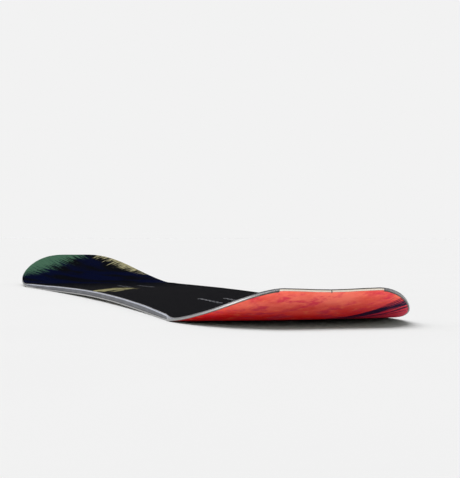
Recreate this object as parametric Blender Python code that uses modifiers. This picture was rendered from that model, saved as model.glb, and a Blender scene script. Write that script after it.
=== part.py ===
"""Directional camber snowboard as a pressed sandwich of separate pieces.

Every piece is laid out flat: x along the board, y across it, and a height above the underside of the base.
Holes are cut in that state. The press then bends all pieces alike into camber, kicked tips and spoon.
Metres, +X towards the nose, +Y the left side, +Z up, origin under the middle of the overall length.
"""

import math

import bmesh
import bpy

# Plan of the board
CONTACT_LENGTH = 1.100
TAIL_LENGTH = 0.190
NOSE_LENGTH = 0.300
CONTACT_WIDTH = 0.2983
WAIST_WIDTH = 0.2530
TAIL_CUT_WIDTH = 0.1158
NOSE_CUT_WIDTH = 0.0457
TAIL_LONG_POWER = 2.09
TAIL_WIDE_POWER = 1.84
NOSE_LONG_POWER = 2.84
NOSE_WIDE_POWER = 2.29
WIDEST_BLEND_POWER = 4.5
TAIL_END_DIP = 0.0026

# Side profile
CAMBER_HEIGHT = 0.0041
TAIL_KICK_HEIGHT = 0.0436
NOSE_KICK_HEIGHT = 0.0578
TAIL_KICK_POWER = 2.70
NOSE_KICK_POWER = 3.56
TAIL_TOUCH_SETBACK = 0.018
NOSE_TOUCH_SETBACK = 0.063
TAIL_SPOON_HEIGHT = 0.0033
NOSE_SPOON_HEIGHT = 0.0033
SPOON_RUN_SHARE = 0.5

# Layers from the base upwards
BASE_THICKNESS = 0.0012
GLASS_THICKNESS = 0.00045
TOPSHEET_THICKNESS = 0.0004
CORE_FULL_THICKNESS = 0.0067
CORE_END_THICKNESS = 0.0049
CORE_TAPER_POWER = 1.3
TAIL_SPACER_THICKNESS = 0.0004
NOSE_SPACER_THICKNESS = 0.0013
CORE_RAMP_LENGTH = 0.020
LAYER_GAP = 0.0003

# Rim
EDGE_BODY_WIDTH = 0.0020
EDGE_FLANGE_WIDTH = 0.0043
EDGE_FLANGE_THICKNESS = 0.0004
STEP_RUN = 0.0002
SIDEWALL_WIDTH = 0.0090
SIDEWALL_LEAN = 0.12
DAMPING_THICKNESS = 0.0004
DAMPING_STOP_SETBACK = 0.012
TAIL_GUARD_SPAN = 0.126
NOSE_GUARD_SPAN = 0.126

# Wood core strips
CENTRE_STRIP_WIDTH = 0.060
SIDE_STRIP_WIDTH = 0.030

# Binding inserts
STANCE_WIDTH = 0.560
STANCE_SETBACK = 0.020
INSERT_ROWS = 6
INSERT_ROW_PITCH = 0.020
INSERT_COLUMN_PITCH = 0.040
INSERT_BARREL_RADIUS = 0.0045
INSERT_FLANGE_RADIUS = 0.0080
INSERT_FLANGE_THICKNESS = 0.0010
INSERT_BORE_RADIUS = 0.0025
INSERT_BORE_DEPTH = 0.0062
INSERT_TOP_RECESS = 0.0002
INSERT_SIDES = 10
BACKING_THICKNESS = 0.0004
BACKING_MARGIN = 0.010
BINDING_SEAT_LENGTH = 0.140

# Fineness of the model
TIP_STATION_STEP = 0.026
TIP_STATION_TURN = math.radians(14)
BODY_STATION_STEP = 0.100
RAMP_CUTS = 3
CROSS_COLUMNS = 5
GUARD_END_COLUMNS = 2
SLOPE_STEP = 0.00001
OUTLINE_STEP = 0.004
OUTLINE_SAMPLES = 240
HALVING_ROUNDS = 50
SMOOTH_LIMIT = math.radians(35)
MERGE_DISTANCE = 0.00001
CUTTER_MARGIN = 0.002

# Places along the board that follow from the sizes
OVERALL_LENGTH = TAIL_LENGTH + CONTACT_LENGTH + NOSE_LENGTH
TAIL_END_X = -OVERALL_LENGTH / 2
NOSE_END_X = OVERALL_LENGTH / 2
TAIL_CONTACT_X = TAIL_END_X + TAIL_LENGTH
NOSE_CONTACT_X = NOSE_END_X - NOSE_LENGTH
WAIST_X = (TAIL_CONTACT_X + NOSE_CONTACT_X) / 2
TAIL_TOUCH_X = TAIL_CONTACT_X + TAIL_TOUCH_SETBACK
NOSE_TOUCH_X = NOSE_CONTACT_X - NOSE_TOUCH_SETBACK
REAR_PACK_X = WAIST_X - STANCE_SETBACK - STANCE_WIDTH / 2
FRONT_PACK_X = WAIST_X - STANCE_SETBACK + STANCE_WIDTH / 2
PACKS = {"rear": REAR_PACK_X, "front": FRONT_PACK_X}

# The damping strips stop short of the core's ramps, in a pocket of the sidewalls
DAMPING_START_X = TAIL_CONTACT_X + CORE_RAMP_LENGTH + DAMPING_STOP_SETBACK
DAMPING_STOP_X = NOSE_CONTACT_X - CORE_RAMP_LENGTH - DAMPING_STOP_SETBACK
POCKET_START_X = DAMPING_START_X - LAYER_GAP
POCKET_STOP_X = DAMPING_STOP_X + LAYER_GAP

# Heights of the layers in the flat state
BASE_TOP = BASE_THICKNESS
GLASS_FLOOR = BASE_TOP + LAYER_GAP
EDGE_TOP = GLASS_FLOOR + GLASS_THICKNESS
CORE_FLOOR = EDGE_TOP + LAYER_GAP
FLANGE_FLOOR = BASE_TOP - EDGE_FLANGE_THICKNESS
SIDEWALL_FLOOR = CORE_FLOOR + DAMPING_THICKNESS + LAYER_GAP
BACKING_TOP = CORE_FLOOR + BACKING_THICKNESS
INSERT_FLOOR = BACKING_TOP + LAYER_GAP

# Insets from the outline
FLANGE_START = EDGE_BODY_WIDTH + STEP_RUN
FLANGE_END = FLANGE_START + EDGE_FLANGE_WIDTH
LAYER_INSET = FLANGE_START + LAYER_GAP
REBATE_FOOT = FLANGE_END + LAYER_GAP
REBATE_HEAD = REBATE_FOOT + STEP_RUN
CORE_INSET = SIDEWALL_WIDTH + LAYER_GAP

# Colours as red, green, blue, then metallic and roughness
FINISHES = {
    "topsheet": ((0.012, 0.012, 0.020), 0.0, 0.35),
    "base": ((0.780, 0.110, 0.080), 0.0, 0.45),
    "steel": ((0.520, 0.500, 0.480), 1.0, 0.35),
    "sidewall": ((0.260, 0.260, 0.280), 0.0, 0.40),
    "guard": ((0.820, 0.760, 0.680), 0.0, 0.50),
    "glass": ((0.700, 0.720, 0.620), 0.0, 0.40),
    "wood": ((0.640, 0.450, 0.260), 0.0, 0.60),
    "hardwood": ((0.480, 0.280, 0.140), 0.0, 0.60),
    "spacer": ((0.560, 0.560, 0.570), 0.0, 0.45),
    "rubber": ((0.015, 0.015, 0.016), 0.0, 0.80),
    "stainless": ((0.620, 0.620, 0.640), 1.0, 0.30),
    "backing": ((0.400, 0.420, 0.360), 0.0, 0.60),
}


def blend(share):
    """Smooth step from 0 to 1."""
    share = min(max(share, 0.0), 1.0)
    return share * share * (3 - 2 * share)


# Outline of the board
# A station number runs along one side: 0 tail corner, 1 tail contact, 2 nose contact, 3 nose corner.

def tip_point(angle, length, cut_width, long_power, wide_power):
    """Distance past the contact point and half width on a tip; the angle is 0 at the contact point.

    The widening adds the slope that the sidecut ends with, so the outline runs on without a kink.
    """
    run = max(math.sin(angle), 0.0) ** (2 / long_power)
    spread = max(math.cos(angle), 0.0) ** (2 / wide_power)
    half = cut_width / 2 + (CONTACT_WIDTH - cut_width) / 2 * spread
    sidecut_slope = 2 * (CONTACT_WIDTH - WAIST_WIDTH) / CONTACT_LENGTH
    widening = sidecut_slope * length * run * (1 - run) ** WIDEST_BLEND_POWER
    return run * length, half + widening


def outline(station):
    """Point of the left outline as (x, half width)."""
    if station < 1:
        angle = (1 - station) * math.pi / 2
        tail = (TAIL_LENGTH, TAIL_CUT_WIDTH, TAIL_LONG_POWER, TAIL_WIDE_POWER)
        past, half = tip_point(angle, *tail)
        return TAIL_CONTACT_X - past, half
    if station > 2:
        angle = (station - 2) * math.pi / 2
        nose = (NOSE_LENGTH, NOSE_CUT_WIDTH, NOSE_LONG_POWER, NOSE_WIDE_POWER)
        past, half = tip_point(angle, *nose)
        return NOSE_CONTACT_X + past, half
    x = TAIL_CONTACT_X + (station - 1) * CONTACT_LENGTH
    share = (x - WAIST_X) / (CONTACT_LENGTH / 2)
    return x, WAIST_WIDTH / 2 + (CONTACT_WIDTH - WAIST_WIDTH) / 2 * share ** 2


def rim(station, inset):
    """Point at a distance inside the left outline, as (x, half width)."""
    x, half = outline(station)
    if station <= 0:
        return x + inset, half
    if station >= 3:
        return x - inset, half
    before = outline(max(station - OUTLINE_STEP, 0))
    after = outline(min(station + OUTLINE_STEP, 3))
    along = after[0] - before[0]
    outward = after[1] - before[1]
    length = math.hypot(along, outward)
    if 1 <= station <= 2:
        return x, half - inset * length / along
    return x + inset * outward / length, half - inset * along / length


def station_at(x):
    """Station number of a place along the board."""
    if x < TAIL_CONTACT_X:
        past = (TAIL_CONTACT_X - x) / TAIL_LENGTH
        return 1 - math.asin(past ** (TAIL_LONG_POWER / 2)) / (math.pi / 2)
    if x > NOSE_CONTACT_X:
        past = (x - NOSE_CONTACT_X) / NOSE_LENGTH
        return 2 + math.asin(past ** (NOSE_LONG_POWER / 2)) / (math.pi / 2)
    return 1 + (x - TAIL_CONTACT_X) / CONTACT_LENGTH


def station_of_half_width(half, corner, contact):
    """Station on a tip where the outline is that far from the centreline, found by halving."""
    inner, outer = corner, contact
    for _ in range(HALVING_ROUNDS):
        middle = (inner + outer) / 2
        if outline(middle)[1] < half:
            inner = middle
        else:
            outer = middle
    return (inner + outer) / 2


def station_beyond(station, distance):
    """Station at a short distance along the outline, negative towards the tail."""
    here = outline(station)
    step = math.copysign(OUTLINE_STEP, distance)
    there = outline(station + step)
    return station + step * abs(distance) / math.dist(here, there)


def tip_stations(corner, contact):
    """Stations from the corner of a tip to its contact point, closer together where the outline turns."""
    samples = range(OUTLINE_SAMPLES + 1)
    stations = [corner + (contact - corner) * sample / OUTLINE_SAMPLES for sample in samples]
    points = [outline(station) for station in stations]
    measure = [0.0]
    heading = math.pi / 2
    for first, second in zip(points, points[1:]):
        turned = math.atan2(second[1] - first[1], abs(second[0] - first[0]))
        travel = math.dist(first, second) / TIP_STATION_STEP + abs(heading - turned) / TIP_STATION_TURN
        measure.append(measure[-1] + travel)
        heading = turned
    count = math.ceil(measure[-1])
    chosen = set()
    for index in range(count + 1):
        target = measure[-1] * index / count
        nearest = min(samples, key=lambda sample: abs(measure[sample] - target))
        chosen.add(stations[nearest])
    return sorted(chosen)


def body_stations():
    """Stations between the contact points: every change of form, and no gap over the body step."""
    places = [TAIL_CONTACT_X, NOSE_CONTACT_X, TAIL_TOUCH_X, NOSE_TOUCH_X]
    for cut in range(1, RAMP_CUTS + 1):
        places.append(TAIL_CONTACT_X + CORE_RAMP_LENGTH * cut / RAMP_CUTS)
        places.append(NOSE_CONTACT_X - CORE_RAMP_LENGTH * cut / RAMP_CUTS)
    for pack_x in PACKS.values():
        places.append(pack_x - BINDING_SEAT_LENGTH / 2)
        places.append(pack_x + BINDING_SEAT_LENGTH / 2)
    places.sort()
    filled = [places[0]]
    for place in places[1:]:
        start = filled[-1]
        if place - start < EDGE_BODY_WIDTH:
            continue
        on_seat = any(start < pack_x < place for pack_x in PACKS.values())
        cuts = 1 if on_seat else math.ceil((place - start) / BODY_STATION_STEP)
        filled.extend(start + (place - start) * cut / cuts for cut in range(1, cuts + 1))
    return [station_at(place) for place in filled]


def board_stations():
    """All stations from the tail corner to the nose corner."""
    tail = tip_stations(0, 1)
    nose = tip_stations(3, 2)
    return tail[:-1] + body_stations() + nose[1:]


def path_between(first, last, extra=()):
    """Board stations strictly between two stations, with the two ends and any extra ones."""
    nearest = OUTLINE_STEP / 4
    inner = [station for station in STATIONS if first + nearest < station < last - nearest]
    inner = [station for station in inner if all(abs(station - one) > nearest for one in extra)]
    return sorted([first, last, *inner, *extra])


# Heights that change along the board

def core_thickness(x):
    """Thickness of the core, and past it of the tip spacers that carry on its level."""
    if x < WAIST_X:
        past_ramp = TAIL_CONTACT_X - x
        spacer = TAIL_SPACER_THICKNESS
        full_until = REAR_PACK_X - BINDING_SEAT_LENGTH / 2
        taper_length = full_until - (TAIL_CONTACT_X + CORE_RAMP_LENGTH)
        taper = (full_until - x) / taper_length
    else:
        past_ramp = x - NOSE_CONTACT_X
        spacer = NOSE_SPACER_THICKNESS
        full_until = FRONT_PACK_X + BINDING_SEAT_LENGTH / 2
        taper_length = NOSE_CONTACT_X - CORE_RAMP_LENGTH - full_until
        taper = (x - full_until) / taper_length
    thinning = min(max(taper, 0.0), 1.0) ** CORE_TAPER_POWER
    body = CORE_FULL_THICKNESS - (CORE_FULL_THICKNESS - CORE_END_THICKNESS) * thinning
    ramp = blend((past_ramp + CORE_RAMP_LENGTH) / CORE_RAMP_LENGTH)
    return body + (spacer - body) * ramp


def core_top(x):
    return CORE_FLOOR + core_thickness(x)


def top_glass_floor(x):
    return core_top(x) + LAYER_GAP


def top_glass_top(x):
    return top_glass_floor(x) + GLASS_THICKNESS


def topsheet_floor(x):
    return top_glass_top(x) + LAYER_GAP


def deck(x):
    return topsheet_floor(x) + TOPSHEET_THICKNESS


def side_inset(height):
    """The side leans inwards above the steel edge."""
    return SIDEWALL_LEAN * max(height - EDGE_TOP, 0.0)


# The press

def bottom_line(x):
    """Height of the underside along the centreline."""
    for pack_x in PACKS.values():
        start = pack_x - BINDING_SEAT_LENGTH / 2
        share = (x - start) / BINDING_SEAT_LENGTH
        if 0 < share < 1:
            return arch(start) * (1 - share) + arch(start + BINDING_SEAT_LENGTH) * share
    if x < TAIL_TOUCH_X:
        run = (TAIL_TOUCH_X - x) / (TAIL_TOUCH_X - TAIL_END_X)
        return TAIL_KICK_HEIGHT * run ** TAIL_KICK_POWER
    if x > NOSE_TOUCH_X:
        run = (x - NOSE_TOUCH_X) / (NOSE_END_X - NOSE_TOUCH_X)
        return NOSE_KICK_HEIGHT * run ** NOSE_KICK_POWER
    return arch(x)


def arch(x):
    """Camber between the two lines where the board touches the snow."""
    reach = TAIL_TOUCH_X - WAIST_X if x < WAIST_X else NOSE_TOUCH_X - WAIST_X
    share = min(abs((x - WAIST_X) / reach), 1.0)
    return CAMBER_HEIGHT * (1 - share ** 2) ** 2


def spoon(x, y):
    """Lift of the tips' sides above their centreline."""
    if x < WAIST_X:
        past = (TAIL_CONTACT_X - x) / TAIL_LENGTH
        lift = TAIL_SPOON_HEIGHT
    else:
        past = (x - NOSE_CONTACT_X) / NOSE_LENGTH
        lift = NOSE_SPOON_HEIGHT
    return lift * min(max(past, 0.0) / SPOON_RUN_SHARE, 1.0) * (2 * y / CONTACT_WIDTH) ** 2


def end_dip(x, y):
    """The blunt tail's end curves in towards its middle."""
    half = TAIL_CUT_WIDTH / 2
    across = (1 + math.cos(math.pi * min(abs(y) / half, 1.0))) / 2
    along = blend((TAIL_CONTACT_X - x) / TAIL_LENGTH)
    return TAIL_END_DIP * across * along


def bend_angle(x):
    """Slope of the pressed base along the board."""
    rise = bottom_line(x + SLOPE_STEP) - bottom_line(x - SLOPE_STEP)
    return math.atan2(rise, 2 * SLOPE_STEP)


def press(x, y, height):
    """Place of a flat point after pressing: its height is laid off square to the bent base."""
    x = x + end_dip(x, y)
    angle = bend_angle(x)
    level = bottom_line(x) + spoon(x, y)
    return x - height * math.sin(angle), y, level + height * math.cos(angle)


# Blender helpers

def clear_scene():
    for item in list(bpy.data.objects):
        bpy.data.objects.remove(item, do_unlink=True)


def new_collection(name):
    collection = bpy.data.collections.new(name)
    bpy.context.scene.collection.children.link(collection)
    return collection


def finish_material(name):
    """Principled material for one finish, made once."""
    if name in bpy.data.materials:
        return bpy.data.materials[name]
    colour, metallic, roughness = FINISHES[name]
    material = bpy.data.materials.new(name)
    material.use_nodes = True
    shader = material.node_tree.nodes["Principled BSDF"]
    shader.inputs["Base Color"].default_value = (*colour, 1.0)
    shader.inputs["Metallic"].default_value = metallic
    shader.inputs["Roughness"].default_value = roughness
    material.diffuse_color = (*colour, 1.0)
    return material


def new_object(name, mesh, collection):
    item = bpy.data.objects.new(name, mesh)
    collection.objects.link(item)
    return item


def add_part(name, mesh, finish):
    """Part object, still flat, under the board's empty."""
    part = new_object(name, mesh, PARTS)
    part.parent = BOARD
    mesh.materials.append(finish_material(finish))
    return part


def grid_body(name, rows, columns, spot, rings=0):
    """Closed flat mesh between two faces of one grid.

    spot(row, column, ring, upper) gives a vertex's x, y and height. A ring is one more row of faces
    extruded from the grid's border; its vertices keep the row and column of the border vertex.
    """
    work = bmesh.new()
    tags = [work.verts.layers.int.new(tag) for tag in ("row", "column", "ring", "upper")]
    row_tag, column_tag, ring_tag, upper_tag = tags
    bmesh.ops.create_grid(work, x_segments=rows - 1, y_segments=columns - 1, size=1.0)
    for vertex in work.verts:
        vertex[row_tag] = round((vertex.co.x + 1) / 2 * (rows - 1))
        vertex[column_tag] = round((vertex.co.y + 1) / 2 * (columns - 1))
    for ring in range(1, rings + 1):
        border = [edge for edge in work.edges if edge.is_boundary]
        made = bmesh.ops.extrude_edge_only(work, edges=border)
        for item in made["geom"]:
            if isinstance(item, bmesh.types.BMVert):
                item[ring_tag] = ring
    made = bmesh.ops.extrude_face_region(work, geom=work.faces[:])
    for item in made["geom"]:
        if isinstance(item, bmesh.types.BMVert):
            item[upper_tag] = 1
    for vertex in work.verts:
        vertex.co = spot(vertex[row_tag], vertex[column_tag], vertex[ring_tag], vertex[upper_tag])
    bmesh.ops.recalc_face_normals(work, faces=work.faces)
    mesh = bpy.data.meshes.new(name)
    work.to_mesh(mesh)
    work.free()
    return mesh


def crosswise(column):
    """Place of a column of a full-width layer, from -1 at the right rim to 1 at the left one."""
    return 2 * column / (CROSS_COLUMNS - 1) - 1


def sheet_mesh(name, stations, inset, lower, upper):
    """Layer across the whole width; one with no inset follows the lean of the side face."""
    def spot(row, column, _ring, is_upper):
        station = stations[row]
        x = outline(station)[0]
        height = upper(x) if is_upper else lower(x)
        lean = 0 if inset else side_inset(height)
        x, half = rim(station, inset + lean)
        return x, half * crosswise(column), height

    return grid_body(name, len(stations), CROSS_COLUMNS, spot)


def band_mesh(name, side, path, section):
    """Strip along the rim. The path holds (station, share of the half width); section(station) gives the
    lower and the upper corners as (inset, height) pairs, from the outline inwards."""
    corners = [section(station) for station, _ in path]

    def spot(row, column, _ring, is_upper):
        station, share = path[row]
        lower, upper = corners[row]
        inset, height = upper[column] if is_upper else lower[column]
        x, half = rim(station, inset)
        return x, side * half * share, height

    return grid_body(name, len(path), len(corners[0][0]), spot)


def evaluated_mesh(item):
    """Mesh of an object with its modifiers applied."""
    bpy.context.view_layer.update()
    graph = bpy.context.evaluated_depsgraph_get()
    return bpy.data.meshes.new_from_object(item.evaluated_get(graph))


def turned_mesh(name, profile):
    """Mesh of (radius, height) points, turned about Z with a Screw modifier."""
    mesh = bpy.data.meshes.new(name)
    points = [(radius, 0.0, height) for radius, height in profile]
    mesh.from_pydata(points, [(index, index + 1) for index in range(len(points) - 1)], [])
    turned = new_object(name, mesh, CUTTERS)
    screw = turned.modifiers.new("turn", "SCREW")
    screw.steps = INSERT_SIDES
    screw.render_steps = INSERT_SIDES
    screw.use_merge_vertices = True
    screw.merge_threshold = MERGE_DISTANCE
    mesh = evaluated_mesh(turned)
    bpy.data.objects.remove(turned, do_unlink=True)
    return mesh


def hide_cutter(cutter):
    cutter.hide_render = True
    cutter.display_type = "WIRE"
    return cutter


def cut(part, cutters):
    """Subtract cutters from a part while it is flat."""
    for cutter in cutters:
        modifier = part.modifiers.new(cutter.name, "BOOLEAN")
        modifier.operation = "DIFFERENCE"
        modifier.object = cutter
    mesh = evaluated_mesh(part)
    part.modifiers.clear()
    part.data = mesh


def press_part(part):
    """Bend a flat part, then shade its round faces smooth."""
    for vertex in part.data.vertices:
        vertex.co = press(*vertex.co)
    part.data.shade_smooth()
    part.data.set_sharp_from_angle(angle=SMOOTH_LIMIT)


# Full-width layers

def base_sheet():
    """Running base, with a rebate round its upper rim for the flange of the steel edges."""
    insets = (REBATE_HEAD, REBATE_FOOT, LAYER_INSET)

    def spot(row, column, ring, is_upper):
        x, half = rim(STATIONS[row], insets[ring])
        rim_top = FLANGE_FLOOR - LAYER_GAP
        height = (BASE_TOP if ring == 0 else rim_top) if is_upper else 0.0
        return x, half * crosswise(column), height

    add_part("base_sheet", grid_body("base_sheet", len(STATIONS), CROSS_COLUMNS, spot, rings=2), "base")


def bottom_glass():
    mesh = sheet_mesh("bottom_glass", STATIONS, LAYER_INSET, lambda x: GLASS_FLOOR, lambda x: EDGE_TOP)
    add_part("bottom_glass", mesh, "glass")


def top_glass(hole_cutters):
    mesh = sheet_mesh("top_glass", STATIONS, 0, top_glass_floor, top_glass_top)
    cut(add_part("top_glass", mesh, "glass"), hole_cutters)


def topsheet(hole_cutters):
    mesh = sheet_mesh("topsheet", STATIONS, 0, topsheet_floor, deck)
    cut(add_part("topsheet", mesh, "topsheet"), hole_cutters)


def tip_spacers():
    """Thin sheets that carry on the core's level from the contact points to the tips."""
    for name, stations in (
        ("tail_spacer", path_between(0, SPACER_ENDS[0])),
        ("nose_spacer", path_between(SPACER_ENDS[1], 3)),
    ):
        mesh = sheet_mesh(name, stations, LAYER_INSET, lambda x: CORE_FLOOR, core_top)
        add_part(name, mesh, "spacer")


# Pieces along the rim

def flange_corners(body_top):
    """Section shared by the steel edges and the tip guards: an upright body and a thin flange inwards."""
    lower = [(0, 0), (EDGE_BODY_WIDTH, 0), (FLANGE_START, FLANGE_FLOOR), (FLANGE_END, FLANGE_FLOOR)]
    upper = [
        (side_inset(body_top), body_top),
        (EDGE_BODY_WIDTH, body_top),
        (FLANGE_START, BASE_TOP),
        (FLANGE_END, BASE_TOP),
    ]
    return lower, upper


def steel_edges():
    path = [(station, 1.0) for station in path_between(TAIL_RIM_START, NOSE_RIM_START)]
    for side_name, side in SIDES.items():
        name = f"steel_edge_{side_name}"
        mesh = band_mesh(name, side, path, lambda station: flange_corners(EDGE_TOP))
        add_part(name, mesh, "steel")


def guard_path(corner, guard_end):
    """From the seam across the blunt end to the corner, then round it to the end of the guard."""
    seam = LAYER_GAP / 2 / outline(corner)[1]
    across = [seam + (1 - seam) * column / GUARD_END_COLUMNS for column in range(GUARD_END_COLUMNS)]
    first, last = sorted((corner, guard_end))
    stations = path_between(first, last)
    if corner > guard_end:
        stations.reverse()
    return [(corner, share) for share in across] + [(station, 1.0) for station in stations]


def tip_guards():
    """Plastic guards that take the steel edge's place across each tip, in two halves."""
    tips = (
        ("tail", 0, TAIL_GUARD_STATION, CORE_FLOOR + TAIL_SPACER_THICKNESS),
        ("nose", 3, NOSE_GUARD_STATION, CORE_FLOOR + NOSE_SPACER_THICKNESS),
    )
    for tip, corner, guard_end, body_top in tips:
        corners = flange_corners(body_top)
        for side_name, side in SIDES.items():
            name = f"{tip}_guard_{side_name}"
            mesh = band_mesh(name, side, guard_path(corner, guard_end), lambda station: corners)
            add_part(name, mesh, "guard")


def side_section(station, inner, floor):
    """Section of a side strip from the leaning outer face inwards, up to the level of the core."""
    top = core_top(outline(station)[0])
    lower = [(side_inset(floor), floor), (inner, floor)]
    upper = [(side_inset(top), top), (inner, top)]
    return lower, upper


def sidewall_section(station):
    """The floor of a sidewall is raised over the damping strip."""
    x = outline(station)[0]
    raised = POCKET_START_X - STEP_RUN / 2 < x < POCKET_STOP_X + STEP_RUN / 2
    return side_section(station, SIDEWALL_WIDTH, SIDEWALL_FLOOR if raised else CORE_FLOOR)


def sidewalls():
    """Sidewalls beside the core, from one contact point to the other."""
    pocket_ends = (
        POCKET_START_X - STEP_RUN,
        POCKET_START_X,
        POCKET_STOP_X,
        POCKET_STOP_X + STEP_RUN,
    )
    path = path_between(*CORE_ENDS, [station_at(x) for x in pocket_ends])
    for side_name, side in SIDES.items():
        name = f"sidewall_{side_name}"
        mesh = band_mesh(name, side, [(station, 1.0) for station in path], sidewall_section)
        add_part(name, mesh, "sidewall")


def tip_rim_section(station):
    return side_section(station, EDGE_BODY_WIDTH, CORE_FLOOR)


def tip_rims():
    """Narrow plastic rims beside the tip spacers, from the contact points to the guards."""
    for tip, stations in (
        ("tail", path_between(TAIL_RIM_START, SPACER_ENDS[0])),
        ("nose", path_between(SPACER_ENDS[1], NOSE_RIM_START)),
    ):
        path = [(station, 1.0) for station in stations]
        for side_name, side in SIDES.items():
            name = f"{tip}_rim_{side_name}"
            add_part(name, band_mesh(name, side, path, tip_rim_section), "sidewall")


def damping_strips():
    """Rubber foil between the edge laminate and the sidewall."""
    ends = station_at(DAMPING_START_X), station_at(DAMPING_STOP_X)
    path = [(station, 1.0) for station in path_between(*ends)]
    top = CORE_FLOOR + DAMPING_THICKNESS
    lower = [(side_inset(CORE_FLOOR), CORE_FLOOR), (SIDEWALL_WIDTH, CORE_FLOOR)]
    upper = [(side_inset(top), top), (SIDEWALL_WIDTH, top)]
    for side_name, side in SIDES.items():
        name = f"edge_damping_{side_name}"
        add_part(name, band_mesh(name, side, path, lambda station: (lower, upper)), "rubber")


# Wood core

def core_strip(name, first_y, second_y, finish):
    """Strip between two lines across the board; each line is a function of the station."""
    stations = path_between(*CORE_ENDS)

    def spot(row, column, _ring, is_upper):
        station = stations[row]
        x = outline(station)[0]
        y = second_y(station) if column else first_y(station)
        return x, y, core_top(x) if is_upper else CORE_FLOOR

    return add_part(name, grid_body(name, len(stations), 2, spot), finish)


def wood_core(hole_cutters, pocket_cutters):
    """Seven strips: a drilled one in the middle, then on each side two softwood and one hardwood strip."""
    half = CENTRE_STRIP_WIDTH / 2
    centre = core_strip("core_centre", lambda station: -half, lambda station: half, "wood")
    cut(centre, hole_cutters + pocket_cutters)
    seam = LAYER_GAP
    inner = (half + seam, half + SIDE_STRIP_WIDTH)
    middle = (inner[1] + seam, inner[1] + SIDE_STRIP_WIDTH)
    outer_start = middle[1] + seam
    for side_name, side in SIDES.items():
        for strip, (start, stop) in (("inner", inner), ("middle", middle)):
            core_strip(
                f"core_{strip}_{side_name}",
                lambda station: side * start,
                lambda station: side * stop,
                "wood",
            )
        core_strip(
            f"core_outer_{side_name}",
            lambda station: side * outer_start,
            lambda station: side * rim(station, CORE_INSET)[1],
            "hardwood",
        )


# Inserts and their backing

def insert_profile():
    """Turned section of a blind threaded insert above its foot, from the floor of the bore outwards."""
    top = deck(WAIST_X) - INSERT_TOP_RECESS - INSERT_FLOOR
    flange_top = INSERT_FLANGE_THICKNESS
    return [
        (0, top - INSERT_BORE_DEPTH),
        (INSERT_BORE_RADIUS, top - INSERT_BORE_DEPTH),
        (INSERT_BORE_RADIUS, top),
        (INSERT_BARREL_RADIUS, top),
        (INSERT_BARREL_RADIUS, flange_top),
        (INSERT_FLANGE_RADIUS, flange_top),
        (INSERT_FLANGE_RADIUS, 0),
        (0, 0),
    ]


def hole_profile():
    """Stepped drill for the core and the layers over it, one gap wider than the insert."""
    above = deck(WAIST_X) + CUTTER_MARGIN
    below = CORE_FLOOR - LAYER_GAP / 2
    shoulder = INSERT_FLOOR + INSERT_FLANGE_THICKNESS + LAYER_GAP
    return [
        (0, above),
        (INSERT_BARREL_RADIUS + LAYER_GAP, above),
        (INSERT_BARREL_RADIUS + LAYER_GAP, shoulder),
        (INSERT_FLANGE_RADIUS + LAYER_GAP, shoulder),
        (INSERT_FLANGE_RADIUS + LAYER_GAP, below),
        (0, below),
    ]


def plate_mesh(name, pack_x, growth, floor, top):
    """Flat plate under one binding pattern, larger by a growth on each side."""
    length = INSERT_ROW_PITCH * (INSERT_ROWS - 1) + 2 * (BACKING_MARGIN + growth)
    width = INSERT_COLUMN_PITCH + 2 * (INSERT_FLANGE_RADIUS + growth)

    def spot(row, column, _ring, is_upper):
        return pack_x + (row - 0.5) * length, (column - 0.5) * width, top if is_upper else floor

    return grid_body(name, 2, 2, spot)


def binding_pattern():
    """Places of one binding's inserts about the middle of the pattern, as (name, x, y)."""
    for side_name, side in SIDES.items():
        for row in range(INSERT_ROWS):
            x = (row - (INSERT_ROWS - 1) / 2) * INSERT_ROW_PITCH
            yield f"{side_name}_{row + 1}", x, side * INSERT_COLUMN_PITCH / 2


def drill_pattern(name, pack_x):
    """Cutter for all holes of one binding, arrayed from one turned drill."""
    drill = new_object(name, turned_mesh(name, hole_profile()), CUTTERS)
    drill.location = (pack_x - (INSERT_ROWS - 1) / 2 * INSERT_ROW_PITCH, -INSERT_COLUMN_PITCH / 2, 0)
    for count, offset in ((INSERT_ROWS, (INSERT_ROW_PITCH, 0, 0)), (2, (0, INSERT_COLUMN_PITCH, 0))):
        array = drill.modifiers.new("pattern", "ARRAY")
        array.count = count
        array.use_relative_offset = False
        array.use_constant_offset = True
        array.constant_offset_displace = offset
    return hide_cutter(drill)


def binding_inserts():
    """Inserts and backing of both bindings; returns the cutters for their holes and pockets."""
    holes = []
    pockets = []
    insert_mesh = turned_mesh("insert", insert_profile())
    insert_mesh.materials.append(finish_material("stainless"))
    for pack, pack_x in PACKS.items():
        for place, x, y in binding_pattern():
            insert = new_object(f"insert_{pack}_{place}", insert_mesh, PARTS)
            insert.parent = BOARD
            insert.location = press(pack_x + x, y, INSERT_FLOOR)
            insert.rotation_euler.y = -bend_angle(pack_x + x)
        name = f"insert_backing_{pack}"
        add_part(name, plate_mesh(name, pack_x, 0, CORE_FLOOR, BACKING_TOP), "backing")
        holes.append(drill_pattern(f"drill_{pack}", pack_x))
        below = CORE_FLOOR - LAYER_GAP
        pocket = plate_mesh(f"pocket_{pack}", pack_x, LAYER_GAP, below, INSERT_FLOOR)
        pockets.append(hide_cutter(new_object(f"pocket_{pack}", pocket, CUTTERS)))
    return holes, pockets


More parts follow.
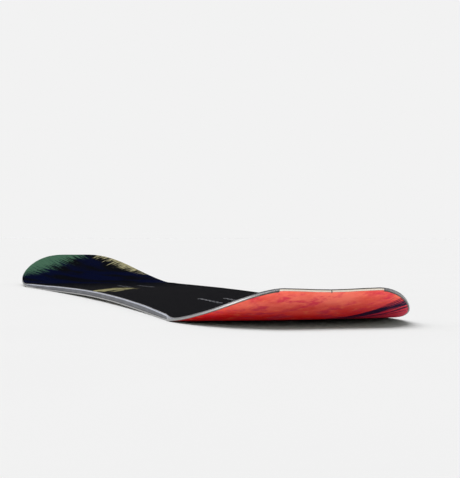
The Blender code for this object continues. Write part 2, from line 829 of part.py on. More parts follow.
clear_scene()
PARTS = new_collection("snowboard")
CUTTERS = new_collection("cutters")
BOARD = new_object("board", None, PARTS)
SIDES = {"left": 1, "right": -1}
STATIONS = board_stations()
TAIL_GUARD_STATION = station_of_half_width(TAIL_GUARD_SPAN / 2, 0, 1)
NOSE_GUARD_STATION = station_of_half_width(NOSE_GUARD_SPAN / 2, 3, 2)
TAIL_RIM_START = station_beyond(TAIL_GUARD_STATION, LAYER_GAP)
NOSE_RIM_START = station_beyond(NOSE_GUARD_STATION, -LAYER_GAP)
CORE_ENDS = station_at(TAIL_CONTACT_X + LAYER_GAP / 2), station_at(NOSE_CONTACT_X - LAYER_GAP / 2)
SPACER_ENDS = station_at(TAIL_CONTACT_X - LAYER_GAP / 2), station_at(NOSE_CONTACT_X + LAYER_GAP / 2)

hole_cutters, pocket_cutters = binding_inserts()
base_sheet()
bottom_glass()
tip_spacers()
steel_edges()
tip_guards()
sidewalls()
tip_rims()
damping_strips()
wood_core(hole_cutters, pocket_cutters)
top_glass(hole_cutters)
topsheet(hole_cutters)

# The inserts share one mesh and already stand in their pressed places
for part in PARTS.objects:
    if part.type == "MESH" and part.data.users == 1:
        press_part(part)
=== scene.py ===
# %% [markdown]
# # A directional snowboard, dressed over its CAD frame
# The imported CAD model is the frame: every layer of the board is already there, at its true size.
# It is coarse, though. This lesson cuts finer pieces for all that shows, and leaves the hidden
# layers as they are, with materials of their own.
#
# The board is made here as it is in a factory. All pieces are cut flat, from one plan. They are
# stacked, and a press then gives all of them the same camber and the same turned-up ends.

# %% Load the frame
import math

import bmesh
import bpy
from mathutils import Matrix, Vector


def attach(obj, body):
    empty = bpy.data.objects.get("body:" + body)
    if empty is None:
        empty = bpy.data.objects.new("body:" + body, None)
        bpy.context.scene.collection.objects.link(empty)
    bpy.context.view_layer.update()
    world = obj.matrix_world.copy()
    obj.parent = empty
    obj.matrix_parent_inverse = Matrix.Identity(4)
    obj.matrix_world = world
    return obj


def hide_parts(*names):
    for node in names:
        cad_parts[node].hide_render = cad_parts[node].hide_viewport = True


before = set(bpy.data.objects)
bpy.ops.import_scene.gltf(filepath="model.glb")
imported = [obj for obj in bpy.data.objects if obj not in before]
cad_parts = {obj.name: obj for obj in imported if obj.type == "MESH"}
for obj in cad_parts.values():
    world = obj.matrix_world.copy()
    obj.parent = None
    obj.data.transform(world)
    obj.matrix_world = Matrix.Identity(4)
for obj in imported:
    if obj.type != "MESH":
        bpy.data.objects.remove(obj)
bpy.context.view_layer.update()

# %% [markdown]
# ## Camera
# The photograph was taken from just above the floor with a long lens, behind the board's left side.
# The place was found from the board's own outline, so the camera comes first and stays put.

# %% Camera
PHOTO_HEIGHT = 478
PHOTO_FOCAL_LENGTH = 1398.0
SENSOR = 36
CAMERA_PLACE = (-2.3035, 0.5868, 0.1092)
CAMERA_TURN = math.radians(17.037)
CAMERA_DIP = math.radians(0.204)
CAMERA_ROLL = math.radians(0.196)

bpy.ops.object.select_all(action="DESELECT")
bpy.ops.object.camera_add(location=CAMERA_PLACE)
camera = bpy.context.object
camera.name = "camera"
camera.data.sensor_width = SENSOR
camera.data.lens = PHOTO_FOCAL_LENGTH * SENSOR / PHOTO_HEIGHT
look = Vector((math.cos(CAMERA_TURN), -math.sin(CAMERA_TURN), -math.tan(CAMERA_DIP)))
camera.rotation_euler = look.to_track_quat("-Z", "Y").to_euler()
camera.rotation_euler.rotate_axis("Z", CAMERA_ROLL)
bpy.context.scene.camera = camera
print("lens", round(camera.data.lens, 2), "mm")

# %% [markdown]
# ## The plan
# Seen from above, the board has a sidecut, a waist narrower than its ends, and two tips.
# The sidecut is a parabola. Each tip is a quarter of a superellipse, an ellipse with its own
# powers, cut off blunt at the end. The values are those of the CAD frame, in metres.
#
# A station number runs along one side: 0 at the tail's corner, 1 at the tail's contact point,
# 2 at the nose's contact point and 3 at the nose's corner.

# %% Plan of the board
CONTACT_LENGTH = 1.100
TAIL_LENGTH = 0.190
NOSE_LENGTH = 0.300
CONTACT_WIDTH = 0.2983
WAIST_WIDTH = 0.2530
TAIL_CUT_WIDTH = 0.1158
NOSE_CUT_WIDTH = 0.0457
TAIL_POWERS = (2.09, 1.84)
NOSE_POWERS = (2.84, 2.29)
WIDEST_BLEND_POWER = 4.5
TAIL_END_DIP = 0.0026
STATION_STEP = 0.004

NOSE_END_X = (TAIL_LENGTH + CONTACT_LENGTH + NOSE_LENGTH) / 2
TAIL_END_X = -NOSE_END_X
TAIL_CONTACT_X = TAIL_END_X + TAIL_LENGTH
NOSE_CONTACT_X = NOSE_END_X - NOSE_LENGTH
WAIST_X = (TAIL_CONTACT_X + NOSE_CONTACT_X) / 2
print("the board reaches from", TAIL_END_X, "to", NOSE_END_X, "and is narrowest at", WAIST_X)


# %% Outline
def tip_point(angle, length, cut_width, powers):
    """Distance past the contact point and half width on a tip."""
    run = max(math.sin(angle), 0.0) ** (2 / powers[0])
    spread = max(math.cos(angle), 0.0) ** (2 / powers[1])
    half = cut_width / 2 + (CONTACT_WIDTH - cut_width) / 2 * spread
    sidecut_slope = 2 * (CONTACT_WIDTH - WAIST_WIDTH) / CONTACT_LENGTH
    return run * length, half + sidecut_slope * length * run * (1 - run) ** WIDEST_BLEND_POWER


def outline(station):
    """Place along the board and half width of the left outline."""
    if station < 1:
        angle = (1 - station) * math.pi / 2
        past, half = tip_point(angle, TAIL_LENGTH, TAIL_CUT_WIDTH, TAIL_POWERS)
        return TAIL_CONTACT_X - past, half
    if station > 2:
        angle = (station - 2) * math.pi / 2
        past, half = tip_point(angle, NOSE_LENGTH, NOSE_CUT_WIDTH, NOSE_POWERS)
        return NOSE_CONTACT_X + past, half
    x = TAIL_CONTACT_X + (station - 1) * CONTACT_LENGTH
    share = (x - WAIST_X) / (CONTACT_LENGTH / 2)
    return x, WAIST_WIDTH / 2 + (CONTACT_WIDTH - WAIST_WIDTH) / 2 * share ** 2


def rim(station, inset):
    """The same at a distance inside the outline."""
    x, half = outline(station)
    if station <= 0:
        return x + inset, half
    if station >= 3:
        return x - inset, half
    before = outline(station - min(STATION_STEP, station))
    after = outline(station + min(STATION_STEP, 3 - station))
    along = after[0] - before[0]
    outward = after[1] - before[1]
    length = math.hypot(along, outward)
    return x + inset * outward / length, half - inset * along / length


print("waist", round(2000 * outline(1.5)[1]), "mm, tail end", round(2000 * outline(0)[1]), "mm")

# %% [markdown]
# ## The layers
# From the base upwards: 1.2 mm of running base, glass laminate, the wood core, glass laminate and
# the topsheet. The core is thickest between the bindings. It thins towards the contact points,
# and there the deck comes down in a ramp to the thin tips. The tail's ramp is short and shows at
# the side as a rounded step, the nose's ramp is longer.
#
# The CAD keeps 0.3 mm between two layers, where the resin is. The finer pieces grow into that gap
# from both sides, so that only a hairline stays open.

# %% Heights in the flat state
EDGE_TOP = 0.00195
CORE_FLOOR = 0.00225
BASE_THICKNESS = 0.0012
CORE_FULL_THICKNESS = 0.0067
CORE_END_THICKNESS = 0.0049
CORE_TAPER_POWER = 1.3
CORE_RAMP_LENGTH = 0.020
TAIL_RAMP_BEYOND = 0.045
NOSE_RAMP_BEYOND = 0.070
TAIL_SPACER_THICKNESS = 0.0004
NOSE_SPACER_THICKNESS = 0.0013
SEATS = {"rear": WAIST_X - 0.300, "front": WAIST_X + 0.260}
SEAT_LENGTH = 0.140
LAYERS_OVER_CORE = 0.00145
SIDE_LEAN = 0.12
print("binding seats at", SEATS)


# %% Core, deck and side face
def body_share(x):
    """1 between the ramps, 0 on the thin tips, and a smooth step between."""
    if x < WAIST_X:
        share = (x - TAIL_CONTACT_X + TAIL_RAMP_BEYOND) / (CORE_RAMP_LENGTH + TAIL_RAMP_BEYOND)
    else:
        share = (NOSE_CONTACT_X + NOSE_RAMP_BEYOND - x) / (CORE_RAMP_LENGTH + NOSE_RAMP_BEYOND)
    share = min(max(share, 0.0), 1.0)
    return share * share * (3 - 2 * share)


def core_top(x):
    """Height of the core's upper face, and past it of the tip spacers."""
    if x < WAIST_X:
        spacer = TAIL_SPACER_THICKNESS
        from_contact = x - TAIL_CONTACT_X
        full_from = SEATS["rear"] - SEAT_LENGTH / 2 - TAIL_CONTACT_X
    else:
        spacer = NOSE_SPACER_THICKNESS
        from_contact = NOSE_CONTACT_X - x
        full_from = NOSE_CONTACT_X - SEATS["front"] - SEAT_LENGTH / 2
    taper = (full_from - from_contact) / (full_from - CORE_RAMP_LENGTH)
    thinning = min(max(taper, 0.0), 1.0) ** CORE_TAPER_POWER
    body = CORE_FULL_THICKNESS - (CORE_FULL_THICKNESS - CORE_END_THICKNESS) * thinning
    return CORE_FLOOR + spacer + (body - spacer) * body_share(x)


def deck(x):
    return core_top(x) + LAYERS_OVER_CORE


def lean(height):
    """The side face leans inwards above the steel edge."""
    return SIDE_LEAN * max(height - EDGE_TOP, 0.0)


for place in (TAIL_END_X, WAIST_X, NOSE_END_X):
    print("at", round(place, 3), "the board is", round(1000 * deck(place), 1), "mm thick")

# %% [markdown]
# ## Rows
# A flat piece starts as a grid. Each of its rows across the board is pulled to one station of the
# outline. The rows lie closer together where the outline turns or the thickness changes.

# %% Stations on the tips
ROW_SPACING = 0.010
ROW_TURN = math.radians(4)
CLOSEST_STATIONS = 0.0008
FINE_STEPS = 900
HALVINGS = 40
BODY_ROWS = 110
RAMP_ROWS = 8
GUARD_HALF_SPAN = 0.065


def station_at(x):
    return 1 + (x - TAIL_CONTACT_X) / CONTACT_LENGTH


def tip_rows(corner, contact):
    """Stations between a tip's corner and its contact point."""
    fine = [corner + (contact - corner) * step / FINE_STEPS for step in range(FINE_STEPS + 1)]
    rows = [corner]
    travelled = 0.0
    heading = math.pi / 2
    for first, second in zip(fine, fine[1:]):
        start, end = outline(first), outline(second)
        turned = math.atan2(end[1] - start[1], abs(end[0] - start[0]))
        travelled += math.dist(start, end) / ROW_SPACING + abs(turned - heading) / ROW_TURN
        heading = turned
        if travelled >= 1:
            rows.append(second)
            travelled = 0.0
    return rows


def guard_station(corner, contact):
    """Station where the outline is as wide as the tip guard reaches, found by halving."""
    for _ in range(HALVINGS):
        middle = (corner + contact) / 2
        if outline(middle)[1] < GUARD_HALF_SPAN:
            corner = middle
        else:
            contact = middle
    return middle


print("rows on the tail:", len(tip_rows(0, 1)), "on the nose:", len(tip_rows(3, 2)))

# %% Stations of all rows
TAIL_GUARD = guard_station(0, 1)
NOSE_GUARD = guard_station(3, 2)
body_rows = []
for step in range(BODY_ROWS + 1):
    body_rows.append(station_at(TAIL_CONTACT_X + CONTACT_LENGTH * step / BODY_ROWS))
for step in range(1, RAMP_ROWS):
    body_rows.append(station_at(TAIL_CONTACT_X + CORE_RAMP_LENGTH * step / RAMP_ROWS))
    body_rows.append(station_at(NOSE_CONTACT_X - CORE_RAMP_LENGTH * step / RAMP_ROWS))
stations = tip_rows(0, 1) + tip_rows(3, 2) + body_rows + [TAIL_GUARD, NOSE_GUARD]
ROWS = []
for station in sorted(stations):
    if not ROWS or station - ROWS[-1] > CLOSEST_STATIONS:
        ROWS.append(station)
print(len(ROWS), "rows from tail to nose")

# %% [markdown]
# ## Hand tools
# Operators work on what is selected, so each step first selects exactly what it needs. These
# helpers do that, and every piece that follows is made with them.

# %% Select and edit
def only(*pieces):
    """Make these the only selected objects, the first one active."""
    bpy.ops.object.select_all(action="DESELECT")
    for piece in pieces:
        piece.select_set(True)
    bpy.context.view_layer.objects.active = pieces[0]


def edit(piece):
    only(piece)
    bpy.ops.object.mode_set(mode="EDIT")


def leave_edit():
    bpy.ops.object.mode_set(mode="OBJECT")


def pick_vertices(piece, chosen):
    """Select vertices by number in edit mode."""
    bpy.ops.mesh.select_mode(type="VERT")
    bpy.ops.mesh.select_all(action="DESELECT")
    mesh = bmesh.from_edit_mesh(piece.data)
    mesh.verts.ensure_lookup_table()
    for index in chosen:
        mesh.verts[index].select_set(True)
    mesh.select_flush_mode()


def vertices_where(piece, test):
    return [vertex.index for vertex in piece.data.vertices if test(vertex.co)]


def pick_faces(piece, test):
    """Select the faces that pass a test in edit mode."""
    bpy.ops.mesh.select_mode(type="FACE")
    bpy.ops.mesh.select_all(action="DESELECT")
    mesh = bmesh.from_edit_mesh(piece.data)
    for face in mesh.faces:
        if test(face):
            face.select_set(True)
    mesh.select_flush_mode()


# %% Modifiers
def apply_modifier(piece, kind, **settings):
    only(piece)
    modifier = piece.modifiers.new(kind.lower(), kind)
    for setting, value in settings.items():
        setattr(modifier, setting, value)
    bpy.ops.object.modifier_apply(modifier=modifier.name)


def soften(piece, width, angle=1.0, **settings):
    """Bevel the edges that turn by more than an angle in radians."""
    settings.update(width=width, segments=2, limit_method="ANGLE", angle_limit=angle)
    apply_modifier(piece, "BEVEL", **settings)


# %% [markdown]
# ## Full-width sheets
# Base, laminate and topsheet each reach across the whole board. Cutting them from a rectangle
# would leave long thin faces along the rim. So a grid is added, its rows are scaled to the
# outline's width and moved to their place, and Solidify gives it its thickness.

# %% Pull a grid to the outline
def sheet(name, columns, inset, level):
    """Flat sheet; inset(x) is its distance inside the outline and level(x) its height."""
    bpy.ops.object.select_all(action="DESELECT")
    bpy.ops.mesh.primitive_grid_add(x_subdivisions=len(ROWS) - 1, y_subdivisions=columns, size=2)
    piece = bpy.context.object
    piece.name = name
    piece.data.name = name
    members = [[] for _ in ROWS]
    for vertex in piece.data.vertices:
        members[round((vertex.co.x + 1) / 2 * (len(ROWS) - 1))].append(vertex.index)
    edit(piece)
    for row, station in enumerate(ROWS):
        start_x = -1 + 2 * row / (len(ROWS) - 1)
        x, half = rim(station, inset(outline(station)[0]))
        pick_vertices(piece, members[row])
        bpy.ops.transform.resize(value=(1, half, 1), center_override=(0, 0, 0))
        bpy.ops.transform.translate(value=(x - start_x, 0, level(x)))
    leave_edit()
    return piece


# %% Running base
SHEET_COLUMNS = 20
EDGE_WIDTH = 0.0020
HAIRLINE = 0.00003

running_base = sheet("running_base", SHEET_COLUMNS, lambda x: EDGE_WIDTH + HAIRLINE, lambda x: 0.0)
apply_modifier(running_base, "SOLIDIFY", thickness=BASE_THICKNESS, offset=1)
print("running base:", len(running_base.data.polygons), "faces")

# %% [markdown]
# The laminate and the topsheet end 2 mm inside the sidewall, because the upper rim of a real
# board is bevelled there. On the thin tips they reach almost to the rim, and their edges show
# as a dark line above the guards.

# %% Upper laminate and topsheet
LAMINATE_FLOOR = 0.00017
LAMINATE_THICKNESS = 0.00073
SHEET_FLOOR = 0.00092
SHEET_THICKNESS = 0.00053

TIP_INSET = 0.00025
BODY_INSET = 0.00205
SHEET_SETBACK = 0.00020


def rim_inset(x):
    return TIP_INSET + (BODY_INSET - TIP_INSET) * body_share(x)


upper_laminate = sheet(
    "upper_laminate", SHEET_COLUMNS, rim_inset, lambda x: core_top(x) + LAMINATE_FLOOR,
)
apply_modifier(upper_laminate, "SOLIDIFY", thickness=LAMINATE_THICKNESS, offset=1)
soften(upper_laminate, width=0.00015)

printed_topsheet = sheet(
    "printed_topsheet", SHEET_COLUMNS,
    lambda x: rim_inset(x) + SHEET_SETBACK,
    lambda x: core_top(x) + SHEET_FLOOR,
)
apply_modifier(printed_topsheet, "SOLIDIFY", thickness=SHEET_THICKNESS, offset=1)
soften(printed_topsheet, width=0.00020)
print("topsheet:", len(printed_topsheet.data.polygons), "faces")

# %% [markdown]
# ## Holes for the inserts
# Each binding is bolted to twelve threaded inserts, two columns of six. The sheets are drilled
# while they are flat, so all holes can be cut in one go: one drill is modelled, two Array modifiers
# repeat it, and a Boolean takes the twelve drills away.

# %% Drill the deck
ROW_PITCH = 0.020
COLUMN_PITCH = 0.040
INSERT_ROWS = 6
HOLE_RADIUS = 0.0048
DRILL_LENGTH = 0.006


def drills(seat, seat_x):
    """Twelve drills over one binding seat."""
    bpy.ops.object.select_all(action="DESELECT")
    first = (seat_x - ROW_PITCH * (INSERT_ROWS - 1) / 2, -COLUMN_PITCH / 2, deck(seat_x))
    bpy.ops.mesh.primitive_cylinder_add(
        vertices=40, radius=HOLE_RADIUS, depth=DRILL_LENGTH, location=first,
    )
    drill = bpy.context.object
    drill.name = f"drill_{seat}"
    for count, step in ((INSERT_ROWS, (ROW_PITCH, 0, 0)), (2, (0, COLUMN_PITCH, 0))):
        apply_modifier(
            drill, "ARRAY", count=count, use_relative_offset=False,
            use_constant_offset=True, constant_offset_displace=step,
        )
    return drill


for seat, seat_x in SEATS.items():
    drill = drills(seat, seat_x)
    for piece in (upper_laminate, printed_topsheet):
        apply_modifier(piece, "BOOLEAN", operation="DIFFERENCE", object=drill, solver="EXACT")
    only(drill)
    bpy.ops.object.delete()
print("topsheet after drilling:", len(printed_topsheet.data.polygons), "faces")

# %% [markdown]
# ## Pieces along the rim
# Steel edges, guards, tip rims and sidewalls all follow the outline at a fixed width. They come
# from one plan: a sheet of the full outline that is inset twice. The first inset is as wide as
# the steel edge, the second as wide as the rest of the sidewall. Material slots mark the two rings.

# %% Plan with two rings
SIDEWALL_WIDTH = 0.0090
PLAN_COLUMNS = 12
EDGE_RING, SIDE_RING = 1, 2

plan = sheet("plan", PLAN_COLUMNS, lambda x: 0.0, lambda x: 0.0)
for name in ("plan_core", "plan_edge", "plan_side"):
    plan.data.materials.append(bpy.data.materials.new(name))


def inset_ring(width, slot):
    """Inset the faces that no ring holds yet, and mark the new ring with a slot."""
    pick_faces(plan, lambda face: face.material_index == 0)
    bpy.ops.mesh.inset(thickness=width, use_boundary=True, use_even_offset=True)
    mesh = bmesh.from_edit_mesh(plan.data)
    for face in mesh.faces:
        if not face.select and face.material_index == 0:
            face.material_index = slot
    bmesh.update_edit_mesh(plan.data)


edit(plan)
inset_ring(EDGE_WIDTH, EDGE_RING)
inset_ring(SIDEWALL_WIDTH - EDGE_WIDTH, SIDE_RING)
leave_edit()
for slot, ring in ((EDGE_RING, "edge ring"), (SIDE_RING, "side ring")):
    count = sum(1 for face in plan.data.polygons if face.material_index == slot)
    print(ring, "has", count, "faces")


# %% Cut a piece from the plan
def cut_from_plan(name, rings, keep, floor, thickness):
    """Copy of the plan's faces that lie in some rings and pass a test, given a thickness."""
    only(plan)
    bpy.ops.object.duplicate(linked=False)
    piece = bpy.context.object
    piece.name = name
    piece.data.name = name

    def is_waste(face):
        return face.material_index not in rings or not keep(face.calc_center_median())

    edit(piece)
    pick_faces(piece, is_waste)
    bpy.ops.mesh.delete(type="FACE")
    bpy.ops.mesh.select_all(action="SELECT")
    bpy.ops.transform.translate(value=(0, 0, floor))
    leave_edit()
    piece.data.materials.clear()
    apply_modifier(piece, "SOLIDIFY", thickness=thickness, offset=1)
    return piece


def mirrored(piece, name):
    """The same piece for the right side of the board."""
    only(piece)
    bpy.ops.object.duplicate(linked=False)
    twin = bpy.context.object
    twin.name = name
    twin.data.name = name
    edit(twin)
    bpy.ops.mesh.select_all(action="SELECT")
    bpy.ops.transform.mirror(constraint_axis=(False, True, False), center_override=(0, 0, 0))
    bpy.ops.mesh.normals_make_consistent(inside=False)
    leave_edit()
    return twin


# %% [markdown]
# ## Steel edges
# The steel edge is a flat bar, 2 mm wide, that runs from one tip guard round the side to the
# other. Its flange is hidden under the laminate, so only the bar is made. A small bevel takes
# the sharpness off, as the first days on snow do.

# %% Steel edges
EDGE_GROWTH = 0.00012

edge_left = cut_from_plan(
    "ground_edge_left", {EDGE_RING},
    lambda at: at.y > GUARD_HALF_SPAN, 0.0, EDGE_TOP + EDGE_GROWTH,
)
soften(edge_left, width=0.00018)
edge_right = mirrored(edge_left, "ground_edge_right")
print("steel edge:", len(edge_left.data.polygons), "faces")

# %% [markdown]
# ## Tip guards
# Across each tip two plastic guards take the steel's place. They meet on the centreline in a
# bead of dark sealant. Each half is cut short of the centreline, and its end face is extruded to
# make half of the bead. The bevels get the same dark, a painted shade line that frames the strip.
# The underside is ground flush with the base and carries its print.

# %% Tip guards
SEAM = 0.00120
HAIR_GAP = 0.00002
GUARD_GROWTH = 0.0001
NEAR_END = 0.1
CREAM, SEALANT_AND_SHADE_LINE, PRINTED = 0, 1, 2
TIPS = {"tail": (TAIL_END_X, TAIL_SPACER_THICKNESS), "nose": (NOSE_END_X, NOSE_SPACER_THICKNESS)}

guards = {}
for tip, (end_x, spacer) in TIPS.items():
    half = cut_from_plan(
        f"{tip}_guard_strip_left", {EDGE_RING},
        lambda at: 0 < at.y < GUARD_HALF_SPAN and abs(at.x - end_x) < NEAR_END,
        0.0, CORE_FLOOR + spacer + GUARD_GROWTH,
    )
    for _ in (CREAM, SEALANT_AND_SHADE_LINE, PRINTED):
        half.data.materials.append(None)
    seam_side = vertices_where(half, lambda at: at.y < HAIR_GAP)
    edit(half)
    pick_vertices(half, seam_side)
    bpy.ops.transform.translate(value=(0, SEAM / 2, 0))
    pick_faces(half, lambda face: face.calc_center_median().y < SEAM / 2 + HAIR_GAP)
    bpy.ops.mesh.extrude_region_move(TRANSFORM_OT_translate={"value": (0, HAIR_GAP - SEAM / 2, 0)})
    leave_edit()
    # The bevel faces take the dark sealant: a painted shade line along the strip's edges.
    soften(half, width=0.00028, material=SEALANT_AND_SHADE_LINE)
    for face in half.data.polygons:
        if face.center.y < SEAM / 2:
            face.material_index = SEALANT_AND_SHADE_LINE
        elif face.normal.z < -0.9:
            face.material_index = PRINTED
    guards[tip, "left"] = half
    guards[tip, "right"] = mirrored(half, f"{tip}_guard_strip_right")
print("guards:", ", ".join(piece.name for piece in guards.values()))

# %% [markdown]
# ## Tip rims
# Beyond the contact points the core ends, and a narrow plastic rim closes the side above the
# steel. It is cut at one height, and then its upper face is brought to the level below the
# laminate row by row. The outer edge of the upper face stays lower: that is the milled bevel,
# and it gets a slot of its own with a paler grey, partly the fresh cut's own colour and partly
# painted light from above.

# %% Raise a strip to the laminate
RUBBER_FLOOR = EDGE_TOP + 0.00014
STRIP_START = 0.001
STRIP_GROWTH = 0.00013
MILLED_BEVEL = 0.0012
CUT_AND_LIT_SLOT = 1


def row_of(vertex):
    """Station of the row that a vertex on the plan's outer edge or rings belongs to."""
    place = (vertex.x, vertex.y)
    return min(ROWS, key=lambda station: math.dist(rim(station, EDGE_WIDTH / 2), place))


def raise_strip(strip, floor):
    """Bring the rows of a flat strip to their heights; floor(x) is the height of its underside."""
    rows = {}
    for vertex in strip.data.vertices:
        station = row_of(vertex.co)
        upper = vertex.co.z > RUBBER_FLOOR + STRIP_START / 2
        outer = math.dist(outline(station), (vertex.co.x, vertex.co.y)) < EDGE_WIDTH / 4
        rows.setdefault((station, upper, outer), []).append(vertex.index)
    rim_corners = set()
    edit(strip)
    for (station, upper, outer), members in rows.items():
        if upper and outer:
            rim_corners.update(members)
        x = outline(station)[0]
        height = floor(x)
        if upper:
            height = core_top(x) + STRIP_GROWTH - MILLED_BEVEL * body_share(x) * outer
        pick_vertices(strip, members)
        rise = height - RUBBER_FLOOR - STRIP_START * upper
        bpy.ops.transform.translate(value=(0, -lean(height) * outer * body_share(x), rise))
    leave_edit()
    strip.data.materials.append(None)
    strip.data.materials.append(None)
    # The bevel's upper faces get the paler plastic, partly painted light from above.
    for face in strip.data.polygons:
        if face.normal.z > 0.3 and rim_corners.intersection(face.vertices):
            face.material_index = CUT_AND_LIT_SLOT
    soften(strip, width=0.00020, angle=0.9)


# %% Tip rims
BEYOND_CONTACT = {"tail": lambda x: x < TAIL_CONTACT_X, "nose": lambda x: x > NOSE_CONTACT_X}

rims = {}
for tip, beyond_contact in BEYOND_CONTACT.items():
    strip = cut_from_plan(
        f"{tip}_rim_strip_left", {EDGE_RING},
        lambda at: at.y > GUARD_HALF_SPAN and beyond_contact(at.x), RUBBER_FLOOR, STRIP_START,
    )
    raise_strip(strip, lambda x: RUBBER_FLOOR)
    rims[tip, "left"] = strip
    rims[tip, "right"] = mirrored(strip, f"{tip}_rim_strip_right")
print("rims:", ", ".join(piece.name for piece in rims.values()))

# %% [markdown]
# ## Sidewalls
# The sidewall stands beside the core, and its outer face leans inwards. It is shaped in the same
# way as the tip rims, but wider. Over the rubber damping strip its floor is higher.

# %% Shape the sidewall
RUBBER_THICKNESS = 0.00055
RUBBER_SETBACK = CORE_RAMP_LENGTH + 0.012
RUBBER_ENDS = (TAIL_CONTACT_X + RUBBER_SETBACK, NOSE_CONTACT_X - RUBBER_SETBACK)


def over_rubber(x):
    return RUBBER_ENDS[0] < x < RUBBER_ENDS[1]


wall_left = cut_from_plan(
    "milled_sidewall_left", {EDGE_RING, SIDE_RING},
    lambda at: at.y > 0 and TAIL_CONTACT_X < at.x < NOSE_CONTACT_X, RUBBER_FLOOR, STRIP_START,
)
raise_strip(wall_left, lambda x: RUBBER_FLOOR + (RUBBER_THICKNESS + HAIRLINE) * over_rubber(x))
wall_right = mirrored(wall_left, "milled_sidewall_right")
print("sidewall:", len(wall_left.data.polygons), "faces")

# %% [markdown]
# ## Rubber foils
# A foil of rubber between edge and sidewall damps the board. Only its dark edge shows, a fine line
# along the side, and the plan gives that line exactly. The foil is the last piece cut from it.

# %% Rubber between edge and sidewall
rubber_left = cut_from_plan(
    "rubber_foil_left", {EDGE_RING, SIDE_RING},
    lambda at: at.y > 0 and over_rubber(at.x), RUBBER_FLOOR, RUBBER_THICKNESS,
)
rubber_right = mirrored(rubber_left, "rubber_foil_right")
only(plan)
bpy.ops.object.delete()
print("rubber foil:", len(rubber_left.data.polygons), "faces")

# %% [markdown]
# ## Threaded inserts
# An insert is a turned steel nut: a wide flange below, a barrel, and a bore with an M6 thread.
# Turned parts are made with Spin. The half section is drawn by extruding one vertex from point to
# point, and spinning it about the upright axis gives the body. Grooves stand for the thread.

# %% Section of an insert
INSERT_FLOOR = 0.00295
INSERT_TOP = deck(SEATS["rear"]) - 0.00004
FLANGE_RADIUS = 0.0080
FLANGE_THICKNESS = 0.0010
FLANGE_CHAMFER = 0.0003
BARREL_RADIUS = 0.0045
BARREL_CHAMFER = 0.0002
BORE_RADIUS = 0.0026
BORE_CHAMFER = 0.0006
BORE_DEPTH = 0.0062
GROOVE_RADIUS = 0.0029
THREAD_PITCH = 0.0010
THREAD_TURNS = 5

section = [
    (0.0, INSERT_FLOOR),
    (FLANGE_RADIUS - FLANGE_CHAMFER, INSERT_FLOOR),
    (FLANGE_RADIUS, INSERT_FLOOR + FLANGE_CHAMFER),
    (FLANGE_RADIUS, INSERT_FLOOR + FLANGE_THICKNESS),
    (BARREL_RADIUS, INSERT_FLOOR + FLANGE_THICKNESS),
    (BARREL_RADIUS, INSERT_TOP - BARREL_CHAMFER),
    (BARREL_RADIUS - BARREL_CHAMFER, INSERT_TOP),
    (BORE_RADIUS + BORE_CHAMFER, INSERT_TOP),
    (BORE_RADIUS, INSERT_TOP - BORE_CHAMFER),
]
for turn in range(THREAD_TURNS):
    depth = INSERT_TOP - BORE_CHAMFER - turn * THREAD_PITCH
    section.append((GROOVE_RADIUS, depth - 0.4 * THREAD_PITCH))
    section.append((GROOVE_RADIUS, depth - 0.6 * THREAD_PITCH))
    section.append((BORE_RADIUS, depth - THREAD_PITCH))
section.append((0.0, INSERT_TOP - BORE_DEPTH))
print("insert section:", len(section), "points, top at", round(INSERT_TOP, 5))

# %% Turn one insert
bpy.ops.object.select_all(action="DESELECT")
bpy.ops.mesh.primitive_plane_add(size=0.001)
insert = bpy.context.object
edit(insert)
bpy.ops.mesh.select_mode(type="VERT")
bpy.ops.mesh.select_all(action="SELECT")
bpy.ops.mesh.merge(type="CENTER")
bpy.ops.transform.translate(value=(0, 0, section[0][1]))
for (radius, height), (next_radius, next_height) in zip(section, section[1:]):
    step = (next_radius - radius, 0, next_height - height)
    bpy.ops.mesh.extrude_region_move(TRANSFORM_OT_translate={"value": step})
bpy.ops.mesh.select_all(action="SELECT")
bpy.ops.mesh.spin(steps=36, angle=2 * math.pi, center=(0, 0, 0), axis=(0, 0, 1))
bpy.ops.mesh.select_all(action="SELECT")
bpy.ops.mesh.remove_doubles(threshold=0.00001)
bpy.ops.mesh.normals_make_consistent(inside=False)
leave_edit()
print("insert:", len(insert.data.polygons), "faces")

# %% [markdown]
# The insert is the same 24 times, so it is copied into the drilled pattern. Each copy gets a mesh of
# its own, because the press will lift and tilt each of them a little differently.

# %% Set the inserts in their pattern
inserts = {}
for seat, seat_x in SEATS.items():
    for side, sign in (("left", 1), ("right", -1)):
        for row in range(INSERT_ROWS):
            x = seat_x + (row - (INSERT_ROWS - 1) / 2) * ROW_PITCH
            only(insert)
            bpy.ops.object.duplicate(linked=False)
            copy = bpy.context.object
            copy.name = f"threaded_insert_{seat}_{side}_{row + 1}"
            copy.data.name = copy.name
            bpy.ops.transform.translate(value=(x, sign * COLUMN_PITCH / 2, 0))
            bpy.ops.object.transform_apply(location=True, rotation=False, scale=False)
            inserts[seat, side, row + 1] = copy
only(insert)
bpy.ops.object.delete()
print(len(inserts), "inserts")

# %% [markdown]
# ## The press
# The press is a thin plate with the shape of the board's underside. Every piece is bound to it
# with a Surface Deform modifier while the plate is still flat. The plate is then bent row by row,
# and the pieces follow at their own height above it.
#
# Between the contact lines the underside is a low arch, the camber. It is straight under each
# binding, so that the bindings stand flat. Nose and tail rise beyond the contact lines, each in a
# kick written as its height at the end and the power of its curve. Their sides rise a little more
# than their middle, like a spoon.

# %% Underside of the board
CAMBER_HEIGHT = 0.0041
TAIL_KICK = (0.0436, 2.70)
NOSE_KICK = (0.0578, 3.56)
TAIL_TOUCH_X = TAIL_CONTACT_X + 0.018
NOSE_TOUCH_X = NOSE_CONTACT_X - 0.063
SPOON_HEIGHT = 0.0033
SPOON_RUN = 0.5


def arch(x):
    reach = TAIL_TOUCH_X - WAIST_X if x < WAIST_X else NOSE_TOUCH_X - WAIST_X
    share = min(abs((x - WAIST_X) / reach), 1.0)
    return CAMBER_HEIGHT * (1 - share ** 2) ** 2


